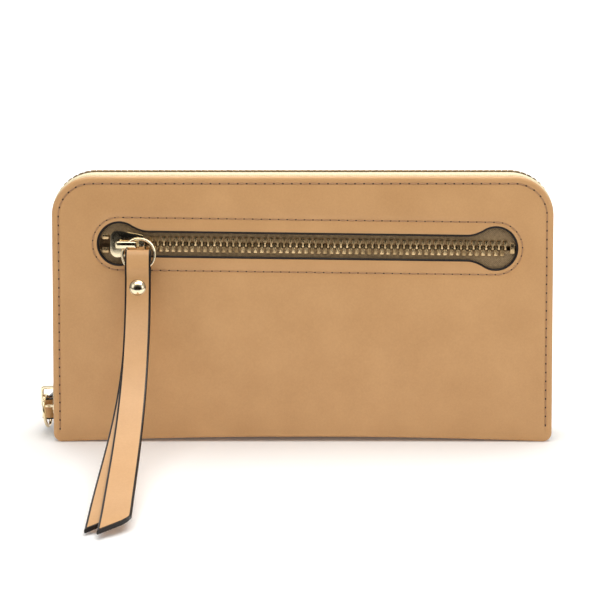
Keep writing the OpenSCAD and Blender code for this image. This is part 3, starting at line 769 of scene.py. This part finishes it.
def zip_path(s, rise):
    """A point `rise` outside the covers' edge, at length s from the left foot over the top.
    It returns x, z and the angle of the outward normal there."""
    r, side, top = CORNER + rise, COVER_H - CORNER - PATH_BASE, COVER_W - 2 * CORNER
    bend = pi * r / 2
    cx, cz = COVER_W / 2 - CORNER, COVER_H - CORNER
    if s < side:
        return -COVER_W / 2 - rise, PATH_BASE + s, pi
    if s < side + bend:
        a = pi - (s - side) / r
        return -cx + r * cos(a), cz + r * sin(a), a
    if s < side + bend + top:
        return -cx + s - side - bend, cz + r, pi / 2
    if s < side + 2 * bend + top:
        a = pi / 2 - (s - side - bend - top) / r
        return cx + r * cos(a), cz + r * sin(a), a
    return COVER_W / 2 + rise, cz - (s - side - 2 * bend - top), 0.0


ZIP_LENGTH = 2 * (COVER_H - CORNER - PATH_BASE) + pi * (CORNER + ZIP_RISE) + COVER_W - 2 * CORNER


def tape_piece(name, node, profile, body):
    rings = []
    for i in range(241):
        x, z, a = zip_path(ZIP_LENGTH * i / 240, ZIP_RISE)
        rings.append([(x + (rise - ZIP_RISE) * cos(a), y, z + (rise - ZIP_RISE) * sin(a))
                      for rise, y in profile])
    verts, faces = loft(rings, capped=True)
    obj = piece(name, verts, faces, [cream_tape], weld=True)
    fit(obj, body, "cream_tape", node)


def doubled(line_points, t):
    """A closed outline of thickness t around an open line of (rise, y) points."""
    out, back = [], []
    for i, (p, q) in enumerate(line_points):
        a = line_points[max(0, i - 1)]
        b = line_points[min(len(line_points) - 1, i + 1)]
        dx, dy = b[0] - a[0], b[1] - a[1]
        size = sqrt(dx * dx + dy * dy)
        out.append((p - t / 2 * dy / size, q + t / 2 * dx / size))
        back.append((p + t / 2 * dy / size, q - t / 2 * dx / size))
    return out + back[::-1]


front_line = [(-6.8, -9.3), (-3, -9.3), (-0.6, -9.3), (0.2, -9.15), (0.62, -8.7), (0.8, -8.0),
              (0.9, -6.5), (0.95, -4.6), (0.92, -3.0), (0.87, -2.6),
              (0.87, -2.2), (0.95, -2.0), (0.9, -1.2), (0.9, 0.0), (0.9, 0.35)]
back_line = [(-6.8, 12.0), (-3, 12.0), (-0.6, 12.0), (0.2, 11.85), (0.62, 11.4), (0.8, 10.7),
             (0.9, 9.2), (0.95, 7.2), (0.92, 5.6), (0.87, 5.2), (0.87, 4.8),
             (0.95, 4.5), (0.9, 3.7), (0.9, 2.4), (0.9, 2.05)]
tape_piece("main_tape_front_weave", "main_tape_front", doubled(front_line, 0.4), "front_half")
tape_piece("main_tape_back_weave", "main_tape_back", doubled(back_line, 0.4), "back_half")


# ---- Teeth and stops ----
# Stamped metal teeth, each clamped over the corded edge of its tape, with a nib that drops
# into the hollow of its neighbour. Antique brass on the pocket, and brighter on the main zip.
def metal(name, bright, dull, roughness, relief=0.0001, hollow_dark_share=0.5):
    m, tree, shader = new_material(name)
    smudge = add_noise(tree, 260, 4)
    tarnish = add_math(tree, "MULTIPLY", add_math(tree, "SUBTRACT", smudge, 0.42), 3.0, True)
    w = add_group(tree, edge_hollow_group, Width=1.5)
    base = add_mix(tree, tarnish, bright, dull)
    # The hollows are made darker, by the given share.
    hollow_dark = tuple(c * 0.3 for c in dull[:3]) + (1,)
    base = add_mix(tree, add_math(tree, "MULTIPLY", w.outputs["Sunk"], hollow_dark_share), base, hollow_dark)
    tree.links.new(base, shader.inputs["Base Color"])
    rough = add_math(tree, "ADD", add_math(tree, "MULTIPLY", tarnish, 0.12), roughness)
    tree.links.new(rough, shader.inputs["Roughness"])
    shader.inputs["Metallic"].default_value = 1.0
    add_bump(tree, shader, add_noise(tree, 1800, 2), 0.12, relief)
    return m


antique_brass = metal("antique_brass", (0.72, 0.52, 0.28, 1), (0.34, 0.22, 0.10, 1), 0.24)
zip_brass = metal("zip_brass", (0.46, 0.33, 0.18, 1), (0.30, 0.20, 0.10, 1), 0.28)
pale_gold = metal("pale_gold", (0.93, 0.80, 0.56, 1), (0.86, 0.71, 0.46, 1), 0.10, 0.00004, 0.3)

# Half outline of one tooth from its tip to its foot: (half width, distance from the middle plane).
TOOTH = [(0.34, -0.70), (0.50, -0.52), (0.54, -0.15), (0.34, 0.30), (0.42, 0.70), (0.80, 1.15),
         (0.88, 2.65), (0.70, 3.0)]
TOOTH_MIDDLE, NIB_THIN = 1.2, 0.72


def tooth_mesh(matrix, scale=1.0):
    """One tooth whose tip points to -Y past the middle plane and whose body spans Z, placed by a matrix."""
    outline = [(w, d) for w, d in TOOTH] + [(-w, d) for w, d in reversed(TOOTH)]
    rings = []
    for shrink, z in ((0.5, -1.0), (0.82, -0.92), (1.0, -0.6), (1.0, 0.6), (0.82, 0.92), (0.5, 1.0)):
        ring = []
        for w, d in outline:
            deep = TOOTH_MIDDLE + (d - TOOTH_MIDDLE) * (0.55 + 0.45 * shrink)
            thin = NIB_THIN if 0.1 < d < 0.8 else 1.0
            ring.append(tuple(matrix @ Vector((w * shrink * scale, deep * scale, z * thin * scale))))
        rings.append(ring)
    verts, faces = loft(rings)
    n = len(outline)
    faces += [tuple(range(n))[::-1], tuple(5 * n + i for i in range(n))]
    return verts, faces


def join(parts):
    verts, faces = [], []
    for v, f in parts:
        shift = len(verts)
        verts += v
        faces += [tuple(i + shift for i in face) for face in f]
    return verts, faces


def teeth_piece(name, node, matrices, material, body, scale=1.0):
    verts, faces = join([tooth_mesh(m, scale) for m in matrices])
    obj = piece(name, verts, faces, [material], sharp=32)
    fit(obj, body, "tooth_metal", node)


MAIN_SLIDER_Z, SLIDER_LEN, PITCH = 14.5, 13.0, 2.4
first = MAIN_SLIDER_Z + SLIDER_LEN / 2 + 1.5 - PATH_BASE
for row, side_name, body in ((-1, "front", "front_half"), (1, "back", "back_half")):
    places = []
    for i in range(int((ZIP_LENGTH - first - 3) / PITCH)):
        x, z, a = zip_path(first + (i + (0 if row < 0 else 0.5)) * PITCH, ZIP_RISE)
        # Local X along the path, Y away from the middle plane, Z outwards.
        out = Vector((cos(a), 0, sin(a)))
        away = Vector((0, row, 0))
        along = away.cross(out)
        m = Matrix((along, away, out)).transposed().to_4x4()
        m.translation = Vector((x, ZIP_Y, z))
        places.append(m)
    teeth_piece("main_teeth_%s_row" % side_name, "main_teeth_" + side_name, places, zip_brass, body)

POCKET_Y = -12.0
pocket_first, pocket_last = SLIDER_X + SLIDER_LEN / 2 + 1.2, WINDOW_X1 + 5
tilt = (Matrix.Translation((SLIDER_X, 0, ZIP_Z)) @ Matrix.Rotation(TILT, 4, "Y")
        @ Matrix.Translation((-SLIDER_X, 0, -ZIP_Z)))
for row, name in ((-1, "lower"), (1, "upper")):
    places = []
    for i in range(int((pocket_last - pocket_first) / PITCH)):
        along, away, out = Vector((row, 0, 0)), Vector((0, 0, row)), Vector((0, -1, 0))
        m = Matrix((along, away, out)).transposed().to_4x4()
        m.translation = Vector((pocket_first + (i + (0 if row < 0 else 0.5)) * PITCH, POCKET_Y, ZIP_Z))
        places.append(tilt @ m)
    teeth_piece("pocket_teeth_%s_row" % name, "pocket_teeth_" + name, places, antique_brass, "front_half")


def block(lo, hi, ease=0.25, matrix=Matrix()):
    """A small cast block with softened edges, between two corners."""
    (x0, y0, z0), (x1, y1, z1) = lo, hi
    e = min(ease, (x1 - x0) / 3, (y1 - y0) / 3, (z1 - z0) / 3)
    rings = []
    for z, inset in ((z0, e), (z0 + e * 0.3, e * 0.3), (z0 + e, 0),
                     (z1 - e, 0), (z1 - e * 0.3, e * 0.3), (z1, e)):
        ring = []
        r = e + 0.001
        for cx, cy, a0 in ((x1 - inset - r, y1 - inset - r, 0), (x0 + inset + r, y1 - inset - r, 90),
                           (x0 + inset + r, y0 + inset + r, 180), (x1 - inset - r, y0 + inset + r, 270)):
            end = (cx + r * cos(radians(a0 + 90)), cy + r * sin(radians(a0 + 90)))
            ring += [(px, py, z) for px, py in arc(cx, cy, r, a0, a0 + 90, 3) + [end]]
        rings.append([tuple(matrix @ Vector(p)) for p in ring])
    verts, faces = loft(rings, capped=True)
    return verts, faces


def stops_piece(name, node, blocks, body, material):
    verts, faces = join(blocks)
    obj = piece(name, verts, faces, [material], sharp=40)
    fit(obj, body, "tooth_metal", node)


for row, side_name, body in ((-1, "front", "front_half"), (1, "back", "back_half")):
    blocks = []
    for side in (-1, 1):
        x, y = side * (COVER_W / 2 + ZIP_RISE), ZIP_Y + (-2.6 if row < 0 else 0.6)
        top = PATH_BASE + (2.6 if side < 0 else 2.2)
        blocks.append(block((x - 1.1, y, PATH_BASE + 0.2), (x + 1.1, y + 2, top)))
    stops_piece("main_stops_%s_pair" % side_name, "main_stops_" + side_name, blocks, body, zip_brass)
blocks = []
for z in (ZIP_Z - 2.6, ZIP_Z + 2.6):
    blocks.append(block((WINDOW_X0 - 6.6, POCKET_Y - 1, z - 1), (WINDOW_X0 - 4, POCKET_Y + 1, z + 1),
                        matrix=tilt))
stops_piece("pocket_top_stop_pair", "pocket_top_stops", blocks, "front_half", antique_brass)
clip = block((pocket_last + 0.6, POCKET_Y - 1, ZIP_Z - 2), (pocket_last + 2.4, POCKET_Y + 1, ZIP_Z + 2),
             matrix=tilt)
stops_piece("pocket_end_stop_clip", "pocket_end_stop", [clip], "front_half", antique_brass)


# ---- Pocket zip tapes ----
# Khaki woven tape behind the window, one above and one below the teeth, with a corded edge
# under them. At the closed end the tapes part and are turned away from the slider.
for side, name in ((1, "upper"), (-1, "lower")):
    rings = []
    for i in range(113):
        x = -84 + 168 * i / 112
        part = 1.5 * smooth((SLIDER_X - 1 - x) / 6)
        row = []
        for j in range(27):
            v = j / 26
            z = 0.85 + part * (1 - smooth(v * 2)) + (12.0 - 0.85 - part * (1 - smooth(v * 2))) * v
            y = 0.0
            if z < 2.6 + part:
                y = -0.28 * sin(pi * (z - 0.85 - part) / 1.75) if z > 0.85 + part else 0.0
            y += 0.035 * sin(x * 2.1 + 3 * sin(z * 0.9)) * (1 - v)
            row.append((z, y))
        front = [tilt @ Vector((x, POCKET_Y - 0.18 + y, ZIP_Z + side * z)) for z, y in row]
        back = [tilt @ Vector((x, POCKET_Y + 0.18, ZIP_Z + side * z)) for z, y in reversed(row)]
        rings.append([tuple(p) for p in front + back])
    verts, faces = loft(rings, capped=True)
    tape = piece("pocket_tape_%s_weave" % name, verts, faces, [khaki_tape])
    fit(tape, "front_half", "khaki_tape", "pocket_tape_" + name)


# ---- Pocket bag ----
# Two thin sheets of lining cloth hang behind the window and are sewn together at the sides.
for name, bottom, top_edge in (("pocket_bag_front", 12.0, 62.1), ("pocket_bag_back", 12.0, 94.0)):
    low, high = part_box(name)
    y0, y1 = low[1] * 1000 + 0.03, high[1] * 1000 - 0.03
    rings = []
    for i in range(42):
        x = -82 + 164 * i / 41
        column = [bottom + (top_edge - bottom) * j / 20 for j in range(21)]
        ripple = [0.05 * sin(x * 0.16 + z * 0.05) * sin(pi * (z - bottom) / (top_edge - bottom))
                  for z in column]
        near = [(x, y0 + 0.05 + r, z) for z, r in zip(column, ripple)]
        far = [(x, y1 - 0.05 + r, z) for z, r in zip(column, ripple)]
        rings.append(near + far[::-1])
    verts, faces = loft(rings, capped=True)
    bag = piece(name + "_cloth", verts, faces, [lining_cloth])
    fit(bag, "front_half", "lining_cloth", name)


# ---- Sliders ----
# Die-cast sliders with a shield-shaped plate on each side of the tape, guide flanges, a
# dividing post at the wide end and a bridge that the pull's ring passes through.
def shield(inset, half_len=SLIDER_LEN / 2, wide=5.2, narrow=3.7):
    nose = []
    for i in range(15):
        a = radians(90 - 180 * i / 14)
        x = -half_len + inset + 2.6 - 2.6 * cos(a)
        side = 0 if i == 7 else 1 if i < 7 else -1
        nose.append((x, (wide - inset) * side * (0.45 + 0.55 * abs(sin(a)))))
    low = [(-half_len + 5.0, -(wide - inset - 0.25)), (0.5, -(0.5 * (wide + narrow) - inset - 0.1)),
           (half_len - 2.2, -(narrow - inset)), (half_len - inset - 0.5, -(narrow - inset - 0.5)),
           (half_len - inset, -(narrow - inset - 1.6))]
    return nose + low + [(x, -y) for x, y in reversed(low)]


def plate(z0, z1, inset=0.0, dome=0.0):
    rings = []
    for shrink, t in ((2.6, 0.0), (0.5, 0.0), (0.12, 0.15), (0.0, 0.45), (0.12, 0.85), (0.5, 1.0)):
        rings.append([(x, y, z0 + (z1 - z0) * t) for x, y in shield(inset + shrink)])
    for shrink, lift in ((1.2, 0.5), (2.6, 1.0)):
        rings.append([(x, y, z1 + dome * lift) for x, y in shield(inset + shrink)])
    verts, faces = loft(rings, capped=True)
    return verts, faces


def bridge(top, tunnel, length=8.4, width=2.5, bar=0.8):
    """An arch over the plate: its legs stand at the ends and its bar runs along X."""
    half = length / 2
    roof = top + tunnel
    outer = [(-half - 0.35, top - 0.15), (-half, top + 0.5), (-half, roof - 0.3),
             (-half + 0.35, roof + bar * 0.75), (-half + 1.0, roof + bar)]
    outer = outer + [(-x, z) for x, z in reversed(outer)]
    inner = [(-half + 1.1, top - 0.15), (-half + 1.1, top + 0.5), (-half + 1.1, roof - 0.7),
             (-half + 1.35, roof - 0.2), (-half + 1.9, roof)]
    inner = inner + [(-x, z) for x, z in reversed(inner)]
    rings = []
    for (ox, oz), (ix, iz) in zip(outer, inner):
        e = 0.3
        mx, mz = (ox - ix), (oz - iz)
        size = sqrt(mx * mx + mz * mz)
        ux, uz = mx / size * e, mz / size * e
        w = width / 2
        rings.append([(ox - ux, w, oz - uz), (ox, w - e, oz), (ox, -w + e, oz), (ox - ux, -w, oz - uz),
                      (ix + ux, -w, iz + uz), (ix, -w + e, iz), (ix, w - e, iz), (ix + ux, w, iz + uz)])
    verts, faces = loft(rings, capped=True)
    return verts, faces


def slider_piece(name, node, matrix, body, tunnel, gap_out=1.2, inner_inset=0.0, scale=1.0):
    gap = 1.2
    parts = [plate(gap_out, gap_out + 0.8, dome=0.12), plate(-gap - 0.8, -gap, inner_inset),
             bridge(gap_out + 0.8, tunnel),
             block((-5.6, -0.45, -gap - 0.1), (-3.4, 0.45, gap_out + 0.1), 0.2)]
    # Guide flanges turned in from both plates along the tape.
    for side in (-1, 1):
        for z0, z1 in ((0.35, gap_out + 0.1), (-gap - 0.1, -0.35)):
            if inner_inset and z0 < 0:
                continue
            rings = []
            for x, y in ((-1.6, 4.6), (0.6, 4.3), (2.8, 3.9), (5.0, 3.6), (6.0, 3.52)):
                corners = [(y - 0.2, z0 + 0.1), (y - 0.1, z0), (y + 0.05, z0), (y + 0.12, z1), (y - 0.25, z1)]
                rings.append([(x, side * v, z) for v, z in corners])
            verts, faces = loft(rings, capped=True)
            parts.append((verts, faces))
    verts, faces = join(parts)
    verts = [tuple(matrix @ (Vector(v) * scale)) for v in verts]
    obj = piece(name, verts, faces, [pale_gold], sharp=35)
    fit(obj, body, "pale_gold", node)


quarter = Matrix.Rotation(radians(90), 4, "X")
on_pocket = tilt @ Matrix.Translation((SLIDER_X, POCKET_Y, ZIP_Z)) @ quarter
slider_piece("pocket_slider_body_cast", "pocket_slider", on_pocket, "pocket_slider_body", 3.18, gap_out=1.75)
on_side = (Matrix.Translation((-COVER_W / 2 - ZIP_RISE, ZIP_Y, MAIN_SLIDER_Z))
           @ Matrix.Rotation(radians(-90), 4, "Y"))
slider_piece("main_slider_body_cast", "main_slider", on_side, "main_slider_body", 4.4)


# ---- Rings ----
# Plated wire rings, closed at a butt joint, that link each slider's bridge to its pull.
RING_R, WIRE_R = 6.1, 0.6


def ring_piece(name, node, centre, across, down, body):
    normal = across.cross(down).normalized()
    rings = []
    for i in range(97):
        a = 2 * pi * i / 96
        out = across * cos(a) + down * sin(a)
        pinch = 1 - 0.10 * max(0.0, 1 - abs((i - 62) / 1.0))
        ring = []
        for k in range(16):
            b = 2 * pi * k / 16
            wide = out * (RING_R + WIRE_R * pinch * cos(b))
            ring.append(tuple(centre + wide + normal * WIRE_R * pinch * sin(b)))
        rings.append(ring)
    verts, faces = loft(rings)
    obj = piece(name, verts, faces, [pale_gold], weld=True)
    fit(obj, body, "pale_gold", node)


LEAN = radians(22)
ring_down = Vector((0, -sin(LEAN), -cos(LEAN)))
grip = radians(39.7)
pocket_pivot = Vector((SLIDER_X, POCKET_Y - 1.75 - 0.8 - 1.8, ZIP_Z))
pocket_ring_mid = pocket_pivot + RING_R * (cos(grip) * Vector((1, 0, 0)) + sin(grip) * ring_down)
ring_piece("pocket_wire_ring", "pocket_ring", pocket_ring_mid, Vector((1, 0, 0)), ring_down, "pocket_ring_body")
main_down = Vector((sin(radians(6)), 0, -cos(radians(6))))
main_pivot = Vector((-101.5, ZIP_Y, 14.9))
main_ring_mid = main_pivot + RING_R * main_down
ring_piece("main_wire_ring", "main_ring", main_ring_mid, Vector((0, 1, 0)), main_down, "main_ring_body")


# ---- Leather pulls ----
# A strip folded through the ring and riveted to itself below it. Both tails hang free, cut on
# a slant, and every cut edge is sealed with thick dark edge paint.
pull_leather = leather("pull_leather", (0.67, 0.385, 0.175, 1), (0.58, 0.32, 0.135, 1), roughness=0.42,
                       pebble=1300, bump=0.35)
PULL_W, PULL_T, LOOP_HALF = 9.6, 1.2, 1.5


def half_gap(s, loop):
    if s < loop - 4:
        return LOOP_HALF
    return 0.06 + (LOOP_HALF - 0.06) * (1 + cos(pi * (s - loop + 4) / 4)) / 2 if s < loop else 0.06


def pull_piece(name, node, matrix, width, length, loop, bend, body, spread, drift, cut, back_short):
    """Sweeps the strip's section up the front tail, round the fold and down the back tail.
    spread(s) parts the tails along their normal and drift(s) slides the back one sideways."""
    step = 0.25
    spine_points, angle = [(0.0, 0.0)], [bend(0)]
    for i in range(int(length / step) + 8):
        a = bend((i + 0.5) * step)
        x, z = spine_points[-1]
        spine_points.append((x + step * cos(a), z + step * sin(a)))
        angle.append(bend((i + 1) * step))

    def at(s):
        i = min(int(s / step), len(spine_points) - 2)
        t = s / step - i
        (x0, z0), (x1, z1) = spine_points[i], spine_points[i + 1]
        return x0 + (x1 - x0) * t, z0 + (z1 - z0) * t, angle[i] + (angle[i + 1] - angle[i]) * t

    us = [-1, -0.985, -0.955, -0.85, -0.7, -0.4, 0.0, 0.4, 0.7, 0.85, 0.955, 0.985, 1]
    lift = [0.42, 0.76, 0.98, 1.02, 1.0, 1.0, 1.0, 1.0, 1.0, 1.02, 0.98, 0.76, 0.42]
    section = [(u * width / 2, h * PULL_T / 2) for u, h in zip(us, lift)]
    section += [(u * width / 2, -h * PULL_T / 2) for u, h in reversed(list(zip(us, lift)))]
    m = len(us)
    r = LOOP_HALF + PULL_T

    def layer(front, f):
        ring = []
        for u, v in section:
            far = length - cut * (u / width + 0.5) - 2.0 * max(0.0, (u - width / 2 + 2.6) / 2.6) ** 2
            if not front:
                far -= back_short
            s = r + (far - r) * f
            x, z, a = at(s)
            thick = 1 + 0.15 * smooth((s - loop - 8) / 20)
            off = half_gap(s, loop) + thick * PULL_T / 2
            w = off + spread(s) + v * thick if front else -off + v * thick
            side_shift = 0.0 if front else drift(s)
            ring.append(tuple(matrix @ Vector((x - w * sin(a), u + side_shift, z + w * cos(a)))))
        return ring

    rim = 0.9 / length
    fractions = [1.0, 1 - rim / 2, 1 - rim] + [1 - rim - (1 - rim) * (i + 1) / 70 for i in range(70)]
    rings = [layer(True, f) for f in fractions]
    x0, z0, a0 = at(r)
    for k in range(1, 12):
        a = radians(90 + 180 * k / 12) + a0
        mid = LOOP_HALF + PULL_T / 2
        ring = []
        for u, v in section:
            q = mid + v
            ring.append(tuple(matrix @ Vector((x0 + q * cos(a), u, z0 + q * sin(a)))))
        rings.append(ring)

    # The back tail's section runs the other way round, so each ring of it is reversed.
    rings += [layer(False, f)[::-1] for f in reversed(fractions)]
    verts, faces = loft(rings)
    which = []
    dark = set(list(range(0, 3)) + list(range(m - 4, m + 3)) + list(range(2 * m - 4, 2 * m)))
    for k in range(len(rings) - 1):
        end = k < 2 or k >= len(rings) - 3
        which += [1 if end or i in dark else 0 for i in range(2 * m)]
    for base in (0, (len(rings) - 1) * 2 * m):
        for i in range(m - 1):
            faces.append((base + i, base + i + 1, base + 2 * m - 2 - i, base + 2 * m - 1 - i))
            which.append(1)
    obj = piece(name, verts, faces, [pull_leather, edge_paint], which, sharp=70)
    fit(obj, body, "pull_leather", node)


PULL_LEN, PULL_LOOP, PULL_STRAIGHT = 136.0, 11.0, 14.0
pull_hang = pocket_ring_mid + (RING_R - 1.15) * ring_down
down_and_out = Matrix.Rotation(radians(-90), 4, "Z") @ Matrix.Rotation(radians(90), 4, "Y")
pocket_pull_place = (Matrix.Translation(pull_hang) @ Matrix.Rotation(radians(2.8), 4, "Z")
                     @ Matrix.Rotation(radians(-14), 4, "X") @ down_and_out @ Matrix.Translation((-6.7, 0, 0)))


def pocket_bend(s):
    if s < PULL_STRAIGHT:
        return 0.0
    return (radians(62) * (1 - (1 - min(1.0, (s - PULL_STRAIGHT) / (PULL_LEN - PULL_STRAIGHT - 4))) ** 2.5)
            + radians(7) * smooth((s - PULL_LEN + 12) / 16))


pull_piece("pocket_leather_pull", "pocket_pull", pocket_pull_place, PULL_W, PULL_LEN + 4.5, PULL_LOOP,
           pocket_bend, "pocket_pull_body", lambda s: 0.35 * smooth((s - 40) / 50) * (1 - smooth((s - 105) / 30)),
           lambda s: -4.2 * smooth((s - 30) / 106) ** 0.9, 8.6, 4.0)
main_hang = main_ring_mid + Vector((0, RING_R - 1.15, 0))
main_pull_place = (Matrix.Translation(main_hang) @ Matrix.Rotation(radians(-3.4), 4, "X")
                   @ Matrix.Rotation(radians(90), 4, "Z") @ Matrix.Rotation(radians(-90), 4, "X")
                   @ Matrix.Translation((-3.4, 0, 0)))
MAIN_PULL_W, MAIN_PULL_LEN, MAIN_LOOP = 8.4, 76.0, 8.0
pull_piece("main_leather_pull", "main_pull", main_pull_place, MAIN_PULL_W, MAIN_PULL_LEN, MAIN_LOOP,
           lambda s: 0.0, "main_pull_body",
           lambda s: 0.3 * smooth((s - 25) / 50), lambda s: 0.5 * smooth((s - 20) / 50), 4.8, 2.5)


# ---- Rivets ----
# A domed tubular cap set through both layers of the pull and spread over a flat back ring.
def lathe(profile, matrix, name, node, body):
    rings = []
    for r, z in profile:
        turn = [2 * pi * k / 40 for k in range(40)]
        rings.append([tuple(matrix @ Vector((r * cos(a), r * sin(a), z))) for a in turn])
    verts, faces = loft(rings)
    obj = piece(name, verts, faces, [pale_gold], sharp=40, weld=True)
    fit(obj, body, "pale_gold", node)


CAP = [(0.0005, 1.42), (0.7, 1.38), (1.4, 1.24), (2.0, 1.0), (2.45, 0.7), (2.72, 0.42), (2.82, 0.3),
       (2.95, 0.3), (3.05, 0.2), (3.05, 0.05), (2.9, -0.05), (1.1, -0.05), (1.1, -2.4), (0.0005, -2.4)]
BACK = [(1.15, 0.0), (2.7, 0.0), (2.85, 0.2), (2.8, 0.5), (2.4, 0.75), (1.7, 0.8), (1.35, 0.6), (1.15, 0.35),
        (1.15, 0.0)]
for name, place, loop in (("pocket", pocket_pull_place, PULL_LOOP), ("main", main_pull_place, MAIN_LOOP)):
    over = place @ Matrix.Translation((loop + 3.4, 0, PULL_T + 0.08))
    under = place @ Matrix.Translation((loop + 3.4, 0, -PULL_T - 0.08)) @ Matrix.Rotation(pi, 4, "X")
    lathe(CAP, over, name + "_rivet_dome", name + "_rivet_cap", name + "_pull_body")
    lathe(BACK, under, name + "_rivet_burr", name + "_rivet_back", name + "_pull_body")


# ---- Coin page ----
# A zipped leather pouch that stands between the covers on a cloth hinge, like a page. Two
# walls are joined at the sides and foot by a narrow gusset, and close with a small zip.
for node in ("coin_wall_front", "coin_wall_back"):
    panel_piece(node + "_leather", node, 84, 4, 85.4, inner_leather, "coin_page", "inner_leather", corner=1.2)
for y, face, name in ((-1.2, -1, "front"), (4.0, 1, "back")):
    for z, label in ((83.6, "top"), (5.8, "foot")):
        line_of_holes = [(-82 + 164 * i / 60, y, z) for i in range(61)]
        inner_seam("coin_%s_%s_seam" % (name, label), line_of_holes, face, "coin_page")
low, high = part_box("coin_gusset")
yc, half_y = 1.4, (high[1] - low[1]) * 500 - 0.03
path = [(-83.95, 82.3 - 78.2 * i / 20) for i in range(21)]
path += [(-83.2 + 166.4 * i / 40, 4.05) for i in range(41)]
path += [(83.95, 4.1 + 78.2 * i / 20) for i in range(21)]
rings = []
for i, (x, z) in enumerate(path):
    ox = 1 if x < -83.5 else -1 if x > 83.5 else 0
    oz = 0 if ox else 1
    ring = []
    for j in range(9):
        v = -1 + j / 4
        ring.append((x + ox * 0.25 * (1 - v * v), yc + half_y * v, z + oz * 0.25 * (1 - v * v)))
    for j in range(9):
        v = 1 - j / 4
        ring.append((x + ox * (0.25 * (1 - v * v) + 0.3), yc + half_y * v, z + oz * (0.25 * (1 - v * v) + 0.3)))
    rings.append(ring)
verts, faces = loft(rings, capped=True)
coin_gusset = piece("coin_gusset_cloth", verts, faces, [lining_cloth])
fit(coin_gusset, "coin_page", "lining_cloth", "coin_gusset")

COIN_Y, COIN_Z, COIN_X, COIN_SCALE, COIN_PITCH = 1.4, 87.2, -74.0, 0.72, 1.9
for side, name in ((-1, "front"), (1, "back")):
    rings = []
    outer_y = -1.1 if side < 0 else 3.9
    edge_y = COIN_Y + side * 0.7
    for i in range(85):
        x = -84 + 168 * i / 84
        row = [(edge_y, 0.0), (edge_y + side * 0.35, 0.12), (edge_y + side * 0.8, 0.0),
               (outer_y - side * 0.5, -0.05), (outer_y - side * 0.1, -0.35), (outer_y, -0.9), (outer_y, -1.7)]
        under = [(x, y - side * (0.3 if z < -0.3 else 0.0), COIN_Z + min(z, 0.0) - (0.17 if z > -0.3 else 0.0))
                 for y, z in reversed(row)]
        rings.append([(x, y, COIN_Z + z + 0.17) for y, z in row] + under)
    verts, faces = loft(rings, capped=True)
    tape = piece("coin_tape_%s_weave" % name, verts, faces, [khaki_tape])
    fit(tape, "coin_page", "khaki_tape", "coin_tape_" + name)
    start = COIN_X + SLIDER_LEN * COIN_SCALE / 2 + 1
    places = []
    for i in range(int((80 - start) / COIN_PITCH)):
        away, out = Vector((0, side, 0)), Vector((0, 0, 1))
        m = Matrix((away.cross(out), away, out)).transposed().to_4x4()
        m.translation = Vector((start + (i + (0 if side < 0 else 0.5)) * COIN_PITCH, COIN_Y, COIN_Z))
        places.append(m)
    teeth_piece("coin_teeth_%s_row" % name, "coin_teeth_" + name, places, zip_brass, "coin_page", COIN_SCALE)
blocks = [block((x, COIN_Y - 1.4, COIN_Z - 0.8), (x + 1.6, COIN_Y + 1.4, COIN_Z + 0.8)) for x in (-83, 81)]
stops_piece("coin_stop_clips", "coin_stops", blocks, "coin_page", zip_brass)
on_coin = Matrix.Translation((COIN_X, COIN_Y, COIN_Z))
slider_piece("coin_slider_body_cast", "coin_slider", on_coin, "coin_slider_body", 1.6, inner_inset=1.1,
             scale=COIN_SCALE)


# ---- Coin pull tab ----
# A small stamped metal tab with a raised border. Its eye loops over the bridge of the coin
# page's slider, and it swings there.
tab_at = Vector((COIN_X + 1.6, COIN_Y, COIN_Z + COIN_SCALE * 2.8))


TAB_END = 10.0


def tab_outline(inset):
    w = 2.2 - inset
    upper = [(6, w * 0.86), (3.6, w * 0.98), (0.6, w), (-0.4 + inset, w - 0.6)]
    return arc(TAB_END, 0, w, -90, 90, 14) + [(TAB_END, w)] + upper + [(x, -y) for x, y in reversed(upper)]


def eye_outline(grow):
    a, b, w = 0.5 - grow, 3.3 + grow, 1.1 + grow
    out = []
    for x, y in tab_outline(0):
        cx = min(max(x, a), b)
        cy = min(max(y, -w), w)
        if a < x < b:
            cy = w if y > 0 else -w
        out.append((cx, cy))
    return out


half = [(eye_outline(0.0), 0.3), (eye_outline(0.15), 0.4), (tab_outline(0.55), 0.3), (tab_outline(0.4), 0.42),
        (tab_outline(0.12), 0.4), (tab_outline(0.0), 0.25)]
around = [(eye_outline(0.0), -0.3)] + half + [(contour, -z) for contour, z in reversed(half)]
rings = []
for contour, z in around:
    rings.append([tuple(tab_at + Vector((x, y, z))) for x, y in contour])
verts, faces = loft(rings)
tab = piece("coin_metal_tab", verts, faces, [pale_gold], sharp=35, weld=True)
fit(tab, "coin_tab_body", "pale_gold", "coin_tab")


# ---- Page hinge ----
# A narrow strip of lining cloth sewn along the foot of the coin page and down to the spine's
# lining, so that the page turns on it.
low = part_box("page_hinge_strip")[0]
rings = []
for i in range(43):
    x = -84 + 168 * i / 42
    ring = []
    for k in range(10):
        a = 2 * pi * k / 10
        flat = 1 if abs(cos(a)) > 0.5 else 0.8
        ring.append((x, 1.4 + 0.19 * cos(a) * flat + 0.05 * sin(x), low[2] * 1000 + 0.85 + 0.85 * sin(a)))
    rings.append(ring)
verts, faces = loft(rings, capped=True)
strip = piece("page_hinge_cloth", verts, faces, [lining_cloth])
fit(strip, "back_half", "lining_cloth", "page_hinge_strip")
